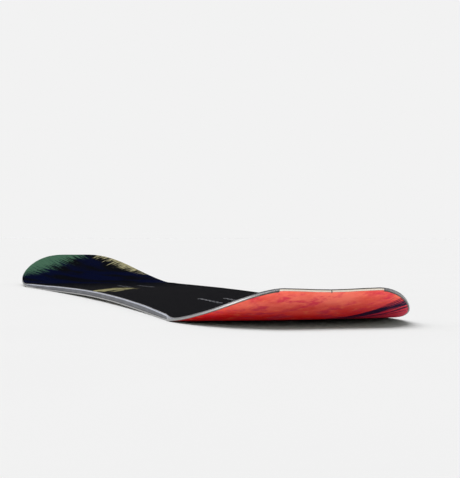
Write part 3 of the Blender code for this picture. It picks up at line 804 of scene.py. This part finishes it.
def underside(x):
    """Height of the underside on the centreline."""
    for seat_x in SEATS.values():
        start = seat_x - SEAT_LENGTH / 2
        share = (x - start) / SEAT_LENGTH
        if 0 < share < 1:
            return arch(start) * (1 - share) + arch(start + SEAT_LENGTH) * share
    if x < TAIL_TOUCH_X:
        return TAIL_KICK[0] * ((TAIL_TOUCH_X - x) / (TAIL_TOUCH_X - TAIL_END_X)) ** TAIL_KICK[1]
    if x > NOSE_TOUCH_X:
        return NOSE_KICK[0] * ((x - NOSE_TOUCH_X) / (NOSE_END_X - NOSE_TOUCH_X)) ** NOSE_KICK[1]
    return arch(x)


def spoon(x):
    """How much higher than the centreline the rim stands."""
    past = (TAIL_CONTACT_X - x) / TAIL_LENGTH if x < WAIST_X else (x - NOSE_CONTACT_X) / NOSE_LENGTH
    return SPOON_HEIGHT * min(max(past, 0.0) / SPOON_RUN, 1.0)


print("camber", CAMBER_HEIGHT, "tail", underside(TAIL_END_X), "nose", underside(NOSE_END_X))

# %% Flat press plate
PLATE_ROWS = 420
PLATE_COLUMNS = 16
PLATE_SIZE = (NOSE_END_X + 0.020, CONTACT_WIDTH / 2 + 0.010)

bpy.ops.object.select_all(action="DESELECT")
bpy.ops.mesh.primitive_grid_add(x_subdivisions=PLATE_ROWS, y_subdivisions=PLATE_COLUMNS, size=2)
plate = bpy.context.object
plate.name = "press_plate"
edit(plate)
bpy.ops.transform.resize(value=(*PLATE_SIZE, 1), center_override=(0, 0, 0))
leave_edit()

pressed = [running_base, upper_laminate, printed_topsheet, edge_left, edge_right]
pressed += [wall_left, wall_right, rubber_left, rubber_right]
pressed += [*guards.values(), *rims.values(), *inserts.values()]
for piece in pressed:
    only(piece)
    bond = piece.modifiers.new("press", "SURFACE_DEFORM")
    bond.target = plate
    bpy.ops.object.surfacedeform_bind(modifier=bond.name)
bound = [piece for piece in pressed if piece.modifiers["press"].is_bound]
print(len(bound), "of", len(pressed), "pieces bound")

# %% [markdown]
# The columns of the plate are raised first, as a parabola one unit high. Scaling each row's
# height then gives it the spoon that its place asks for. The blunt tail's end is drawn in with
# proportional editing.

# %% Bend the plate
SMOOTH_ANGLE = math.radians(30)

plate_columns = {}
plate_rows = {}
for vertex in plate.data.vertices:
    plate_columns.setdefault(round(vertex.co.y, 5), []).append(vertex.index)
    plate_rows.setdefault(round(vertex.co.x, 5), []).append(vertex.index)
tail_end = Vector((TAIL_END_X, 0, 0))
tail_middle = min(plate.data.vertices, key=lambda vertex: (vertex.co - tail_end).length).index
edit(plate)
for y, members in plate_columns.items():
    pick_vertices(plate, members)
    bpy.ops.transform.translate(value=(0, 0, (2 * y / CONTACT_WIDTH) ** 2))
for x, members in plate_rows.items():
    pick_vertices(plate, members)
    bpy.ops.transform.resize(value=(1, 1, spoon(x)), center_override=(0, 0, 0))
    bpy.ops.transform.translate(value=(0, 0, underside(x)))
pick_vertices(plate, [tail_middle])
end_slope = (underside(TAIL_END_X) - underside(TAIL_END_X + TAIL_END_DIP)) / TAIL_END_DIP
bpy.ops.transform.translate(
    value=(TAIL_END_DIP, 0, -TAIL_END_DIP * end_slope), use_proportional_edit=True,
    proportional_edit_falloff="SMOOTH", proportional_size=TAIL_CUT_WIDTH / 2,
)
leave_edit()

for piece in pressed:
    only(piece)
    bpy.ops.object.modifier_apply(modifier="press")
    bpy.ops.object.shade_smooth_by_angle(angle=SMOOTH_ANGLE)
only(plate)
bpy.ops.object.delete()
print("pressed", len(pressed), "pieces")

# %% [markdown]
# ## Materials
# Each finish is a small node tree on Object coordinates, which are the board's own metres, so a
# grain keeps its true size on every piece. The helpers add nodes and fill their sockets: another
# node's output is linked, a plain value is set.

# %% Add nodes
def fill(tree, socket, value):
    if isinstance(value, bpy.types.NodeSocket):
        tree.links.new(value, socket)
    else:
        socket.default_value = value


def add(tree, kind, sockets=None, **settings):
    """New node; returns it."""
    node = tree.nodes.new("ShaderNode" + kind)
    for setting, value in settings.items():
        setattr(node, setting, value)
    for name, value in (sockets or {}).items():
        fill(tree, node.inputs[name], value)
    return node


def start_material(name, **shader_values):
    """Material with its shader; returns material, tree, shader and the Object coordinates."""
    material = bpy.data.materials.new(name)
    material.use_nodes = True
    tree = material.node_tree
    shader = tree.nodes["Principled BSDF"]
    for socket, value in shader_values.items():
        shader.inputs[socket.replace("_", " ")].default_value = value
    coordinates = add(tree, "TexCoord").outputs["Object"]
    return material, tree, shader, coordinates


# %% Noise and sums
def stretched_noise(tree, coordinates, scale, turn=(0, 0, 0), detail=3.0, roughness=0.5):
    """Noise on coordinates that are turned and then stretched."""
    sockets = {"Vector": coordinates, "Rotation": turn, "Scale": scale}
    place = add(tree, "Mapping", sockets, vector_type="TEXTURE").outputs["Vector"]
    sockets = {"Vector": place, "Scale": 1.0, "Detail": detail, "Roughness": roughness}
    return add(tree, "TexNoise", sockets).outputs["Fac"]


def between(tree, value, low, high, to_low=0.0, to_high=1.0):
    """Smooth step of a value from one range to another."""
    sockets = {"Value": value, "From Min": low, "From Max": high}
    sockets.update({"To Min": to_low, "To Max": to_high})
    return add(tree, "MapRange", sockets, interpolation_type="SMOOTHSTEP").outputs["Result"]


def maths(tree, operation, first, second=0.0):
    return add(tree, "Math", {0: first, 1: second}, operation=operation).outputs[0]


# %% Colour and surface
def mix(tree, factor, first, second):
    """Mix of two colours."""
    node = add(tree, "Mix", {"Factor": factor}, data_type="RGBA")
    colour_sockets = [socket for socket in node.inputs if socket.type == "RGBA"]
    for socket, colour in zip(colour_sockets, (first, second)):
        fill(tree, socket, colour)
    return next(socket for socket in node.outputs if socket.type == "RGBA")


def bump(tree, shader, height, strength, distance):
    node = add(tree, "Bump", {"Height": height, "Strength": strength, "Distance": distance})
    tree.links.new(node.outputs["Normal"], shader.inputs["Normal"])


def surface(tree, shader, colour, marks, smooth, rough):
    """Give the shader a colour, and a roughness that follows some marks."""
    tree.links.new(colour, shader.inputs["Base Color"])
    tree.links.new(between(tree, marks, 0.3, 0.7, smooth, rough), shader.inputs["Roughness"])


def srgb(red, green, blue):
    """Colour as seen, in 0 to 255, as the linear colour that Blender works with."""
    def linear(value):
        value /= 255
        return value / 12.92 if value <= 0.04045 else ((value + 0.055) / 1.055) ** 2.4
    return linear(red), linear(green), linear(blue), 1.0


print("coral in linear light:", [round(value, 3) for value in srgb(232, 104, 88)])

# %% [markdown]
# ## Topsheet print
# The print is nearly black, a warm black at the tail and a cold one at the nose. The nose's darker
# black is painted shade. Round the nose it has a navy, a green and a cream field, brushed out
# towards the middle. A painted picture could be laid over the deck, but nodes stay sharp at any
# size: a field is one side of a slanting line, and noise stretched along the brush strokes frays its
# edge. The design is this lesson's own.
#
# The varnish is fine-grained. Seen edge on it goes fully matt, so the roughness follows the angle.

# %% Brushed fields and strokes
def coordinate(tree, at, turn):
    """Distance along a direction that is turned from the board's length towards its left side."""
    place = add(tree, "SeparateXYZ", {"Vector": at})
    ahead = maths(tree, "MULTIPLY", place.outputs["X"], math.cos(turn))
    aside = maths(tree, "MULTIPLY", place.outputs["Y"], math.sin(turn))
    return maths(tree, "ADD", ahead, aside)


def frayed(tree, at, distance, turn, fray, strokes):
    """A distance made uneven by brush strokes that run in a direction."""
    scale = (*strokes, 1.0)
    noise = stretched_noise(tree, at, scale, turn=(0, 0, turn), detail=4.0, roughness=0.65)
    return maths(tree, "ADD", distance, between(tree, noise, 0.25, 0.75, -fray, fray))


def field(tree, at, turn, reach, fray=0.030, strokes=(0.045, 0.0028), softness=0.008):
    """Painted field beyond a line, brushed across the line."""
    distance = frayed(tree, at, coordinate(tree, at, turn), turn, fray, strokes)
    return between(tree, distance, reach - softness, reach + softness)


def stroke(tree, at, start, end, width, fray=0.5):
    """One brush stroke from start to end, frayed along its own length."""
    turn = math.atan2(end[1] - start[1], end[0] - start[0])
    length = math.dist(start, end)
    first = start[0] * math.cos(turn) + start[1] * math.sin(turn)
    middle = start[1] * math.cos(turn) - start[0] * math.sin(turn)
    strokes = (length / 3, width / 6)
    along = frayed(tree, at, coordinate(tree, at, turn), turn, length / 4, strokes)
    across = maths(tree, "SUBTRACT", coordinate(tree, at, turn + math.pi / 2), middle)
    across = frayed(tree, at, across, turn, width * fray, (length, width / 4))
    inside = between(tree, maths(tree, "ABSOLUTE", across), width * 0.62, width * 0.38)
    begun = between(tree, along, first - length / 12, first + length / 12)
    ended = between(tree, along, first + length * 13 / 12, first + length * 11 / 12)
    return maths(tree, "MULTIPLY", inside, maths(tree, "MULTIPLY", begun, ended))


# %% Topsheet print
topsheet_print, tree, shader, at = start_material("topsheet_print", Specular_IOR_Level=0.003)
speckle = stretched_noise(tree, at, (0.0009, 0.0009, 0.0009), detail=2.0)
streaks = stretched_noise(tree, at, (0.050, 0.0025, 1.0), turn=(0, 0, 0.6), detail=3.0)
pools = stretched_noise(tree, at, (0.090, 0.050, 1.0), turn=(0, 0, 0.9), detail=2.0)
# The black darkens towards the nose: painted shade laid into the print's colour.
ahead = between(tree, coordinate(tree, at, 0), 0.050, 0.420)
warm_black = mix(tree, speckle, srgb(12, 12, 14), srgb(25, 25, 28))
cold_black_and_painted_shade = mix(tree, speckle, srgb(0, 1, 5), srgb(6, 7, 14))
black_with_painted_shade = mix(tree, ahead, warm_black, cold_black_and_painted_shade)
ink = mix(tree, streaks, srgb(0, 2, 14), srgb(2, 8, 42))
navy = field(tree, at, math.radians(6), 0.500)
colour = mix(tree, maths(tree, "MULTIPLY", navy, between(tree, pools, 0.40, 0.56)), black_with_painted_shade, ink)
dab = stroke(tree, at, (-0.055, 0.122), (0.090, 0.045), 0.034)
colour = mix(tree, dab, colour, mix(tree, streaks, srgb(118, 114, 82), srgb(156, 150, 112)))
cream = field(tree, at, math.radians(-52), 0.530)
colour = mix(tree, cream, colour, mix(tree, streaks, srgb(140, 135, 100), srgb(186, 180, 142)))
green = field(tree, at, math.radians(38), 0.620)
colour = mix(tree, green, colour, mix(tree, streaks, srgb(40, 72, 56), srgb(80, 114, 92)))
tree.links.new(colour, shader.inputs["Base Color"])

scale = (0.120, 0.0008, 1.0)
scuffs = stretched_noise(tree, at, scale, turn=(0, 0, 0.12), detail=5.0, roughness=0.7)
satin = between(tree, scuffs, 0.35, 0.75, 0.42, 0.56)
edge_on = add(tree, "LayerWeight", {"Blend": 0.5}).outputs["Facing"]
tree.links.new(maths(tree, "MAXIMUM", satin, edge_on), shader.inputs["Roughness"])
bump(tree, shader, speckle, 0.12, 0.0002)
print("topsheet print:", len(tree.nodes), "nodes")

# %% [markdown]
# ## Running base
# The base is sintered plastic, printed from behind. The colours are mixed as a printer lays them
# down: coral at the tail's end and scarlet further in, crimson and orange mottles, a rose field and
# dark brush strokes. The deeper, darker red towards the contact line is partly print and partly
# painted shade where the base nears the floor. Stone grinding leaves fine lines along the board:
# bump, and a little change of gloss.

# %% Base print
base_print, tree, shader, at = start_material("base_print", Specular_IOR_Level=0.03)
# From the tail's end towards the contact line the red deepens and darkens: partly print, partly
# painted shade near the floor.
depth = between(tree, coordinate(tree, at, 0), -0.778, -0.690)
scale = (0.055, 0.075, 1.0)
clouds = stretched_noise(tree, at, scale, turn=(0, 0, 0.25), detail=5.0, roughness=0.60)
clouds = between(tree, clouds, 0.36, 0.62)
scale = (0.022, 0.030, 1.0)
mottles = stretched_noise(tree, at, scale, turn=(0, 0, -0.2), detail=4.0, roughness=0.65)
flecks = stretched_noise(tree, at, (0.008, 0.014, 1.0), detail=3.0, roughness=0.6)
coral = mix(tree, clouds, srgb(224, 78, 68), srgb(244, 118, 100))
scarlet_and_contact_shade = mix(tree, clouds, srgb(238, 14, 26), srgb(252, 34, 36))
colour = mix(tree, depth, coral, scarlet_and_contact_shade)
colour = mix(tree, between(tree, mottles, 0.48, 0.64, 0.0, 0.80), colour, srgb(214, 46, 78))
colour = mix(tree, between(tree, flecks, 0.54, 0.70, 0.0, 0.35), colour, srgb(255, 142, 96))
rose = field(tree, at, math.radians(-70), -0.170, strokes=(0.040, 0.006), softness=0.035)
colour = mix(tree, maths(tree, "MULTIPLY", rose, 0.70), colour, srgb(208, 50, 84))
for start, end, width in (
    ((-0.650, -0.050), (-0.775, -0.118), 0.026),
    ((-0.615, -0.010), (-0.680, -0.080), 0.012),
    ((-0.420, 0.090), (-0.240, 0.010), 0.030),
    ((-0.100, -0.080), (0.120, 0.020), 0.034),
    ((0.340, 0.100), (0.560, -0.040), 0.038),
):
    colour = mix(tree, stroke(tree, at, start, end, width, fray=1.0), colour, srgb(40, 24, 54))

grind = stretched_noise(tree, at, (0.200, 0.0004, 1.0), detail=3.0, roughness=0.6)
surface(tree, shader, colour, grind, 0.40, 0.52)
bump(tree, shader, grind, 0.15, 0.0001)
print("base print:", len(tree.nodes), "nodes")

# %% [markdown]
# ## Steel and sidewall plastic
# The steel edges are ground, so their fine lines run across the bar, and a little tarnish browns
# them. The sidewalls are milled: slanting cutter marks catch the light, and the bevel above them is
# a paler grey, partly a fresh cut and partly painted light from above. The tail's rims are polished
# by use, and mirror the lamps. One function mixes all three plastics, because only their greys and
# their gloss differ.

# %% Ground steel
edge_steel, tree, shader, at = start_material("ground_steel", Metallic=1.0)
lines = stretched_noise(tree, at, (0.0006, 0.0100, 0.0100), turn=(0, 0, 0.2), detail=3.0)
tarnish = stretched_noise(tree, at, (0.030, 0.030, 0.030), detail=4.0)
bright = mix(tree, lines, srgb(136, 135, 134), srgb(168, 168, 169))
tarnished = mix(tree, between(tree, tarnish, 0.5, 0.75, 0.0, 0.5), bright, srgb(126, 121, 114))
surface(tree, shader, tarnished, lines, 0.34, 0.46)
bump(tree, shader, lines, 0.10, 0.0001)
print("ground steel:", len(tree.nodes), "nodes")

# %% Sidewalls and tip rims
def cut_plastic(name, dark, light, patch, gloss, smooth=0.34):
    """Grey plastic with slanting marks of the cutter."""
    material, tree, shader, at = start_material(name, Specular_IOR_Level=gloss)
    scale = (0.0010, 1.0, 0.0120)
    marks = stretched_noise(tree, at, scale, turn=(0, 1.0, 0), detail=3.0, roughness=0.6)
    patches = stretched_noise(tree, at, (0.040, 1.0, 0.010), detail=3.0)
    grey = mix(tree, between(tree, marks, 0.32, 0.68), dark, light)
    patched = mix(tree, between(tree, patches, 0.4, 0.8, 0.0, 0.5), grey, patch)
    surface(tree, shader, patched, marks, smooth, smooth + 0.16)
    bump(tree, shader, marks, 0.20, 0.0002)
    return material


milled_plastic = cut_plastic(
    "milled_plastic", srgb(42, 44, 50), srgb(80, 82, 89), srgb(104, 106, 113), 0.1,
)
# Paler grey for the bevels: partly fresh cut, partly painted light from above.
fresh_cut_and_painted_light = cut_plastic(
    "fresh_cut_and_painted_light", srgb(128, 132, 146), srgb(160, 164, 178), srgb(172, 176, 188), 0.5,
)
polished_rim = cut_plastic(
    "polished_rim", srgb(82, 85, 93), srgb(112, 115, 124), srgb(126, 129, 138), 1.0, smooth=0.20,
)
print("cut plastics:", milled_plastic.name, fresh_cut_and_painted_light.name, polished_rim.name)

# %% [markdown]
# ## Guards, laminate and inserts
# The guards are cream plastic with a moulding's fine grain, the bead in their seam is dark sealant,
# and the same dark on their bevels is a painted shade line.
# The laminate's cut edge is resin in which glass fibres run along the board. The inserts come off a
# lathe, so their noise is flattened into rings.

# %% Guards
cream_plastic, tree, shader, at = start_material("cream_plastic", Specular_IOR_Level=0.4)
grain = stretched_noise(tree, at, (0.0030, 0.0030, 0.0030), detail=4.0)
cream = mix(tree, grain, srgb(182, 172, 159), srgb(198, 189, 177))
surface(tree, shader, cream, grain, 0.40, 0.55)
bump(tree, shader, grain, 0.10, 0.0001)

# Dark sealant for the seam's bead, also used as a painted shade line on the guards' bevels.
sealant_and_shade_line, tree, shader, at = start_material("dark_sealant_and_shade_line", Specular_IOR_Level=0.3)
grain = stretched_noise(tree, at, (0.0008, 0.0008, 0.0008), detail=3.0)
dark_brown = mix(tree, grain, srgb(40, 36, 33), srgb(66, 60, 55))
surface(tree, shader, dark_brown, grain, 0.50, 0.70)
print("guards:", cream_plastic.name, "and", sealant_and_shade_line.name)

# %% Laminate
def fibre_resin(name, dark, light, gloss, smooth):
    """Resin with glass fibres along the board."""
    material, tree, shader, at = start_material(name, Specular_IOR_Level=gloss)
    fibres = stretched_noise(tree, at, (0.0100, 0.0010, 0.0010), detail=3.0)
    surface(tree, shader, mix(tree, fibres, dark, light), fibres, smooth, smooth + 0.15)
    bump(tree, shader, fibres, 0.10, 0.0001)
    return material


dark_resin = fibre_resin("dark_resin", srgb(50, 47, 45), srgb(86, 82, 79), 0.8, 0.24)
glass_resin = fibre_resin("glass_resin", srgb(150, 152, 140), srgb(186, 188, 176), 0.4, 0.40)
print("laminates:", dark_resin.name, "above,", glass_resin.name, "below")

# %% Inserts
turned_steel, tree, shader, at = start_material("turned_steel", Metallic=1.0)
rings = stretched_noise(tree, at, (0.0008, 0.0008, 0.0004), detail=3.0)
turned_grey = mix(tree, rings, srgb(68, 70, 76), srgb(104, 106, 114))
surface(tree, shader, turned_grey, rings, 0.22, 0.36)
print(len(bpy.data.materials), "materials so far")

# %% [markdown]
# ## Hidden layers
# Core strips, spacers, rubber and backings stay CAD nodes. They get real finishes too, because
# somebody may take the board apart: the wood has long grain, the harder outer strips are redder.

# %% Wood
def wood(name, light, dark):
    material, tree, shader, at = start_material(name, Specular_IOR_Level=0.3)
    grain = stretched_noise(tree, at, (0.300, 0.0040, 0.0040), detail=6.0, roughness=0.6)
    pores = stretched_noise(tree, at, (0.040, 0.0008, 0.0008), detail=3.0)
    colour = mix(tree, between(tree, grain, 0.3, 0.7), light, dark)
    colour = mix(tree, between(tree, pores, 0.55, 0.75, 0.0, 0.5), colour, dark)
    surface(tree, shader, colour, grain, 0.50, 0.68)
    bump(tree, shader, pores, 0.15, 0.0001)
    return material


softwood = wood("softwood", srgb(222, 192, 148), srgb(190, 150, 102))
hardwood = wood("hardwood", srgb(190, 142, 100), srgb(146, 98, 62))
print("core:", softwood.name, "and", hardwood.name)


# %% Spacers, rubber and backings
def filled_plastic(name, light, dark, scale, smooth, rough):
    material, tree, shader, at = start_material(name, Specular_IOR_Level=0.4)
    grain = stretched_noise(tree, at, scale, detail=4.0)
    surface(tree, shader, mix(tree, grain, light, dark), grain, smooth, rough)
    bump(tree, shader, grain, 0.12, 0.0001)
    return material


spacer_plastic = filled_plastic(
    "spacer_plastic", srgb(158, 158, 162), srgb(182, 182, 186), (0.004, 0.004, 0.004), 0.40, 0.52,
)
rubber = filled_plastic(
    "rubber_black", srgb(26, 26, 27), srgb(42, 42, 44), (0.002, 0.002, 0.002), 0.70, 0.85,
)
backing_resin = filled_plastic(
    "backing_resin", srgb(112, 118, 102), srgb(142, 148, 130), (0.003, 0.001, 0.002), 0.45, 0.60,
)
print("fillings:", spacer_plastic.name, rubber.name, backing_resin.name)


# %% Finish the CAD nodes
def finish_for(node_name):
    if node_name.startswith("core_outer"):
        return hardwood
    if node_name.startswith("core_"):
        return softwood
    if "spacer" in node_name:
        return spacer_plastic
    if "backing" in node_name:
        return backing_resin
    if "damping" in node_name:
        return rubber
    return glass_resin


for node_name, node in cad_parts.items():
    for slot in node.material_slots:
        slot.material = finish_for(node_name)
print("finished", len(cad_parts), "CAD nodes")

# %% [markdown]
# ## Hand the pieces to the frame
# Each new piece gets its finish, rides on the one body, and hides the CAD node it stands for.
# The running base is left out of diffuse light on other things. On a sunlit floor its red would
# spread round the tail, and a product picture is lit so that the floor stays neutral.

# %% Ride, replace and finish
def dress(piece, materials, slot, *nodes):
    while len(piece.material_slots) < len(materials):
        piece.data.materials.append(None)
    for place, material in zip(piece.material_slots, materials):
        place.material = material
    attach(piece, "root")
    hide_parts(*nodes)


dress(running_base, [base_print], "base", "base_sheet")
dress(upper_laminate, [dark_resin], "laminate", "top_glass")
dress(printed_topsheet, [topsheet_print], "topsheet", "topsheet")
for side, edge, wall, foil in (
    ("left", edge_left, wall_left, rubber_left),
    ("right", edge_right, wall_right, rubber_right),
):
    dress(edge, [edge_steel], "edge_steel", f"steel_edge_{side}")
    dress(wall, [milled_plastic, fresh_cut_and_painted_light], "sidewall", f"sidewall_{side}")
    dress(foil, [rubber], "rubber", f"edge_damping_{side}")
for (tip, side), guard in guards.items():
    dress(guard, [cream_plastic, sealant_and_shade_line, base_print], "guard", f"{tip}_guard_{side}")
RIM_FACES = {"tail": polished_rim, "nose": milled_plastic}
for (tip, side), strip in rims.items():
    dress(strip, [RIM_FACES[tip], fresh_cut_and_painted_light], "sidewall", f"{tip}_rim_{side}")
for (seat, side, row), copy in inserts.items():
    dress(copy, [turned_steel], "insert_steel", f"insert_{seat}_{side}_{row}")
running_base.visible_diffuse = False
print("dressed", len(pressed), "pieces")

# %% [markdown]
# ## Floor and light
# The board lies on a pale floor that runs on without a horizon: the world has the floor's colour
# for the camera. The floor is matt and nearly even, so that nothing draws the eye from the board.

# %% Floor
PALE = srgb(242, 242, 242)

bpy.ops.object.select_all(action="DESELECT")
bpy.ops.mesh.primitive_grid_add(x_subdivisions=8, y_subdivisions=8, size=60)
floor = bpy.context.object
floor.name = "floor"
floor_paint, tree, shader, at = start_material("floor_paint", Roughness=0.9, Specular_IOR_Level=0.0)
tone = stretched_noise(tree, at, (0.3, 0.3, 0.3), detail=2.0)
paint = mix(tree, tone, srgb(241, 241, 241), srgb(243, 243, 243))
tree.links.new(paint, shader.inputs["Base Color"])
floor.data.materials.append(floor_paint)
print("floor:", floor.dimensions.x, "m wide")

# %% [markdown]
# A studio is dark behind the camera, so the sky fades out towards that side for light and mirrors.
# An overhead lamp and the sky light everything evenly. A softbox on the board's left draws the
# gloss along the rim, and a white card low down before the tail lights the turned-up base. These
# two would wash out the shadow under the tail, so light linking leaves the floor out of both.

# %% World
SKY_STRENGTH = 0.60
DARK_FROM, DARK_TO = -0.10, -0.55
DARK_SHARE = 0.10

world = bpy.data.worlds.new("studio")
bpy.context.scene.world = world
world.use_nodes = True
tree = world.node_tree
tree.nodes.clear()
path = add(tree, "LightPath")
seen = maths(tree, "MAXIMUM", path.outputs["Is Camera Ray"], path.outputs["Is Glossy Ray"])
seen = maths(tree, "MAXIMUM", seen, path.outputs["Is Transmission Ray"])
direction = add(tree, "SeparateXYZ", {"Vector": add(tree, "TexCoord").outputs["Generated"]})
room = between(tree, direction.outputs["X"], DARK_TO, DARK_FROM, DARK_SHARE, 1.0)
sky = maths(tree, "MULTIPLY", room, SKY_STRENGTH)
lit = add(tree, "Background", {"Color": (1, 1, 1, 1), "Strength": sky})
room = maths(tree, "MAXIMUM", room, path.outputs["Is Camera Ray"])
shown = add(tree, "Background", {"Color": PALE, "Strength": room})
choice = add(tree, "MixShader", {0: seen, 1: lit.outputs[0], 2: shown.outputs[0]})
add(tree, "OutputWorld", {"Surface": choice.outputs[0]})
bpy.context.scene.view_settings.view_transform = "Standard"
print("sky", SKY_STRENGTH, "falls to", DARK_SHARE, "of that behind the camera")

# %% Lamps
OVERHEAD = {"from": (0.35, 0.15, 1.0), "strength": 1.87, "spread": 60}
SIDE_SOFTBOX = {"from": (0.25, 1.0, 0.40), "strength": 1.10, "spread": 28}
FLOOR_CARD = {"from": (-1.0, 0.15, -0.02), "strength": 3.40, "spread": 20}


def hang_lamp(name, setting, on_floor, in_mirrors):
    """Lamp from one side; it may leave out the floor, and may not show in glossy faces."""
    bpy.ops.object.select_all(action="DESELECT")
    turn = Vector(setting["from"]).to_track_quat("Z", "Y").to_euler()
    bpy.ops.object.light_add(type="SUN", location=(0, 0, 3), rotation=turn)
    lamp = bpy.context.object
    lamp.name = name
    lamp.data.energy = setting["strength"]
    lamp.data.angle = math.radians(setting["spread"])
    lamp.visible_glossy = in_mirrors
    if not on_floor:
        floor.select_set(True)
        bpy.ops.object.light_linking_receiver_collection_new()
        bpy.ops.object.light_linking_receivers_link(link_state="EXCLUDE")
        bpy.ops.object.light_linking_blocker_collection_new()
        bpy.ops.object.light_linking_blockers_link(link_state="EXCLUDE")
    print("lamp", name, "strength", lamp.data.energy)


hang_lamp("overhead", OVERHEAD, on_floor=True, in_mirrors=True)
hang_lamp("side_softbox", SIDE_SOFTBOX, on_floor=False, in_mirrors=True)
hang_lamp("floor_card", FLOOR_CARD, on_floor=False, in_mirrors=False)

# %% [markdown]
# ## Last selection
# The dressed board is cut to the CAD model's size. The script ends with the camera selected.

# %% Select the camera
only(camera)
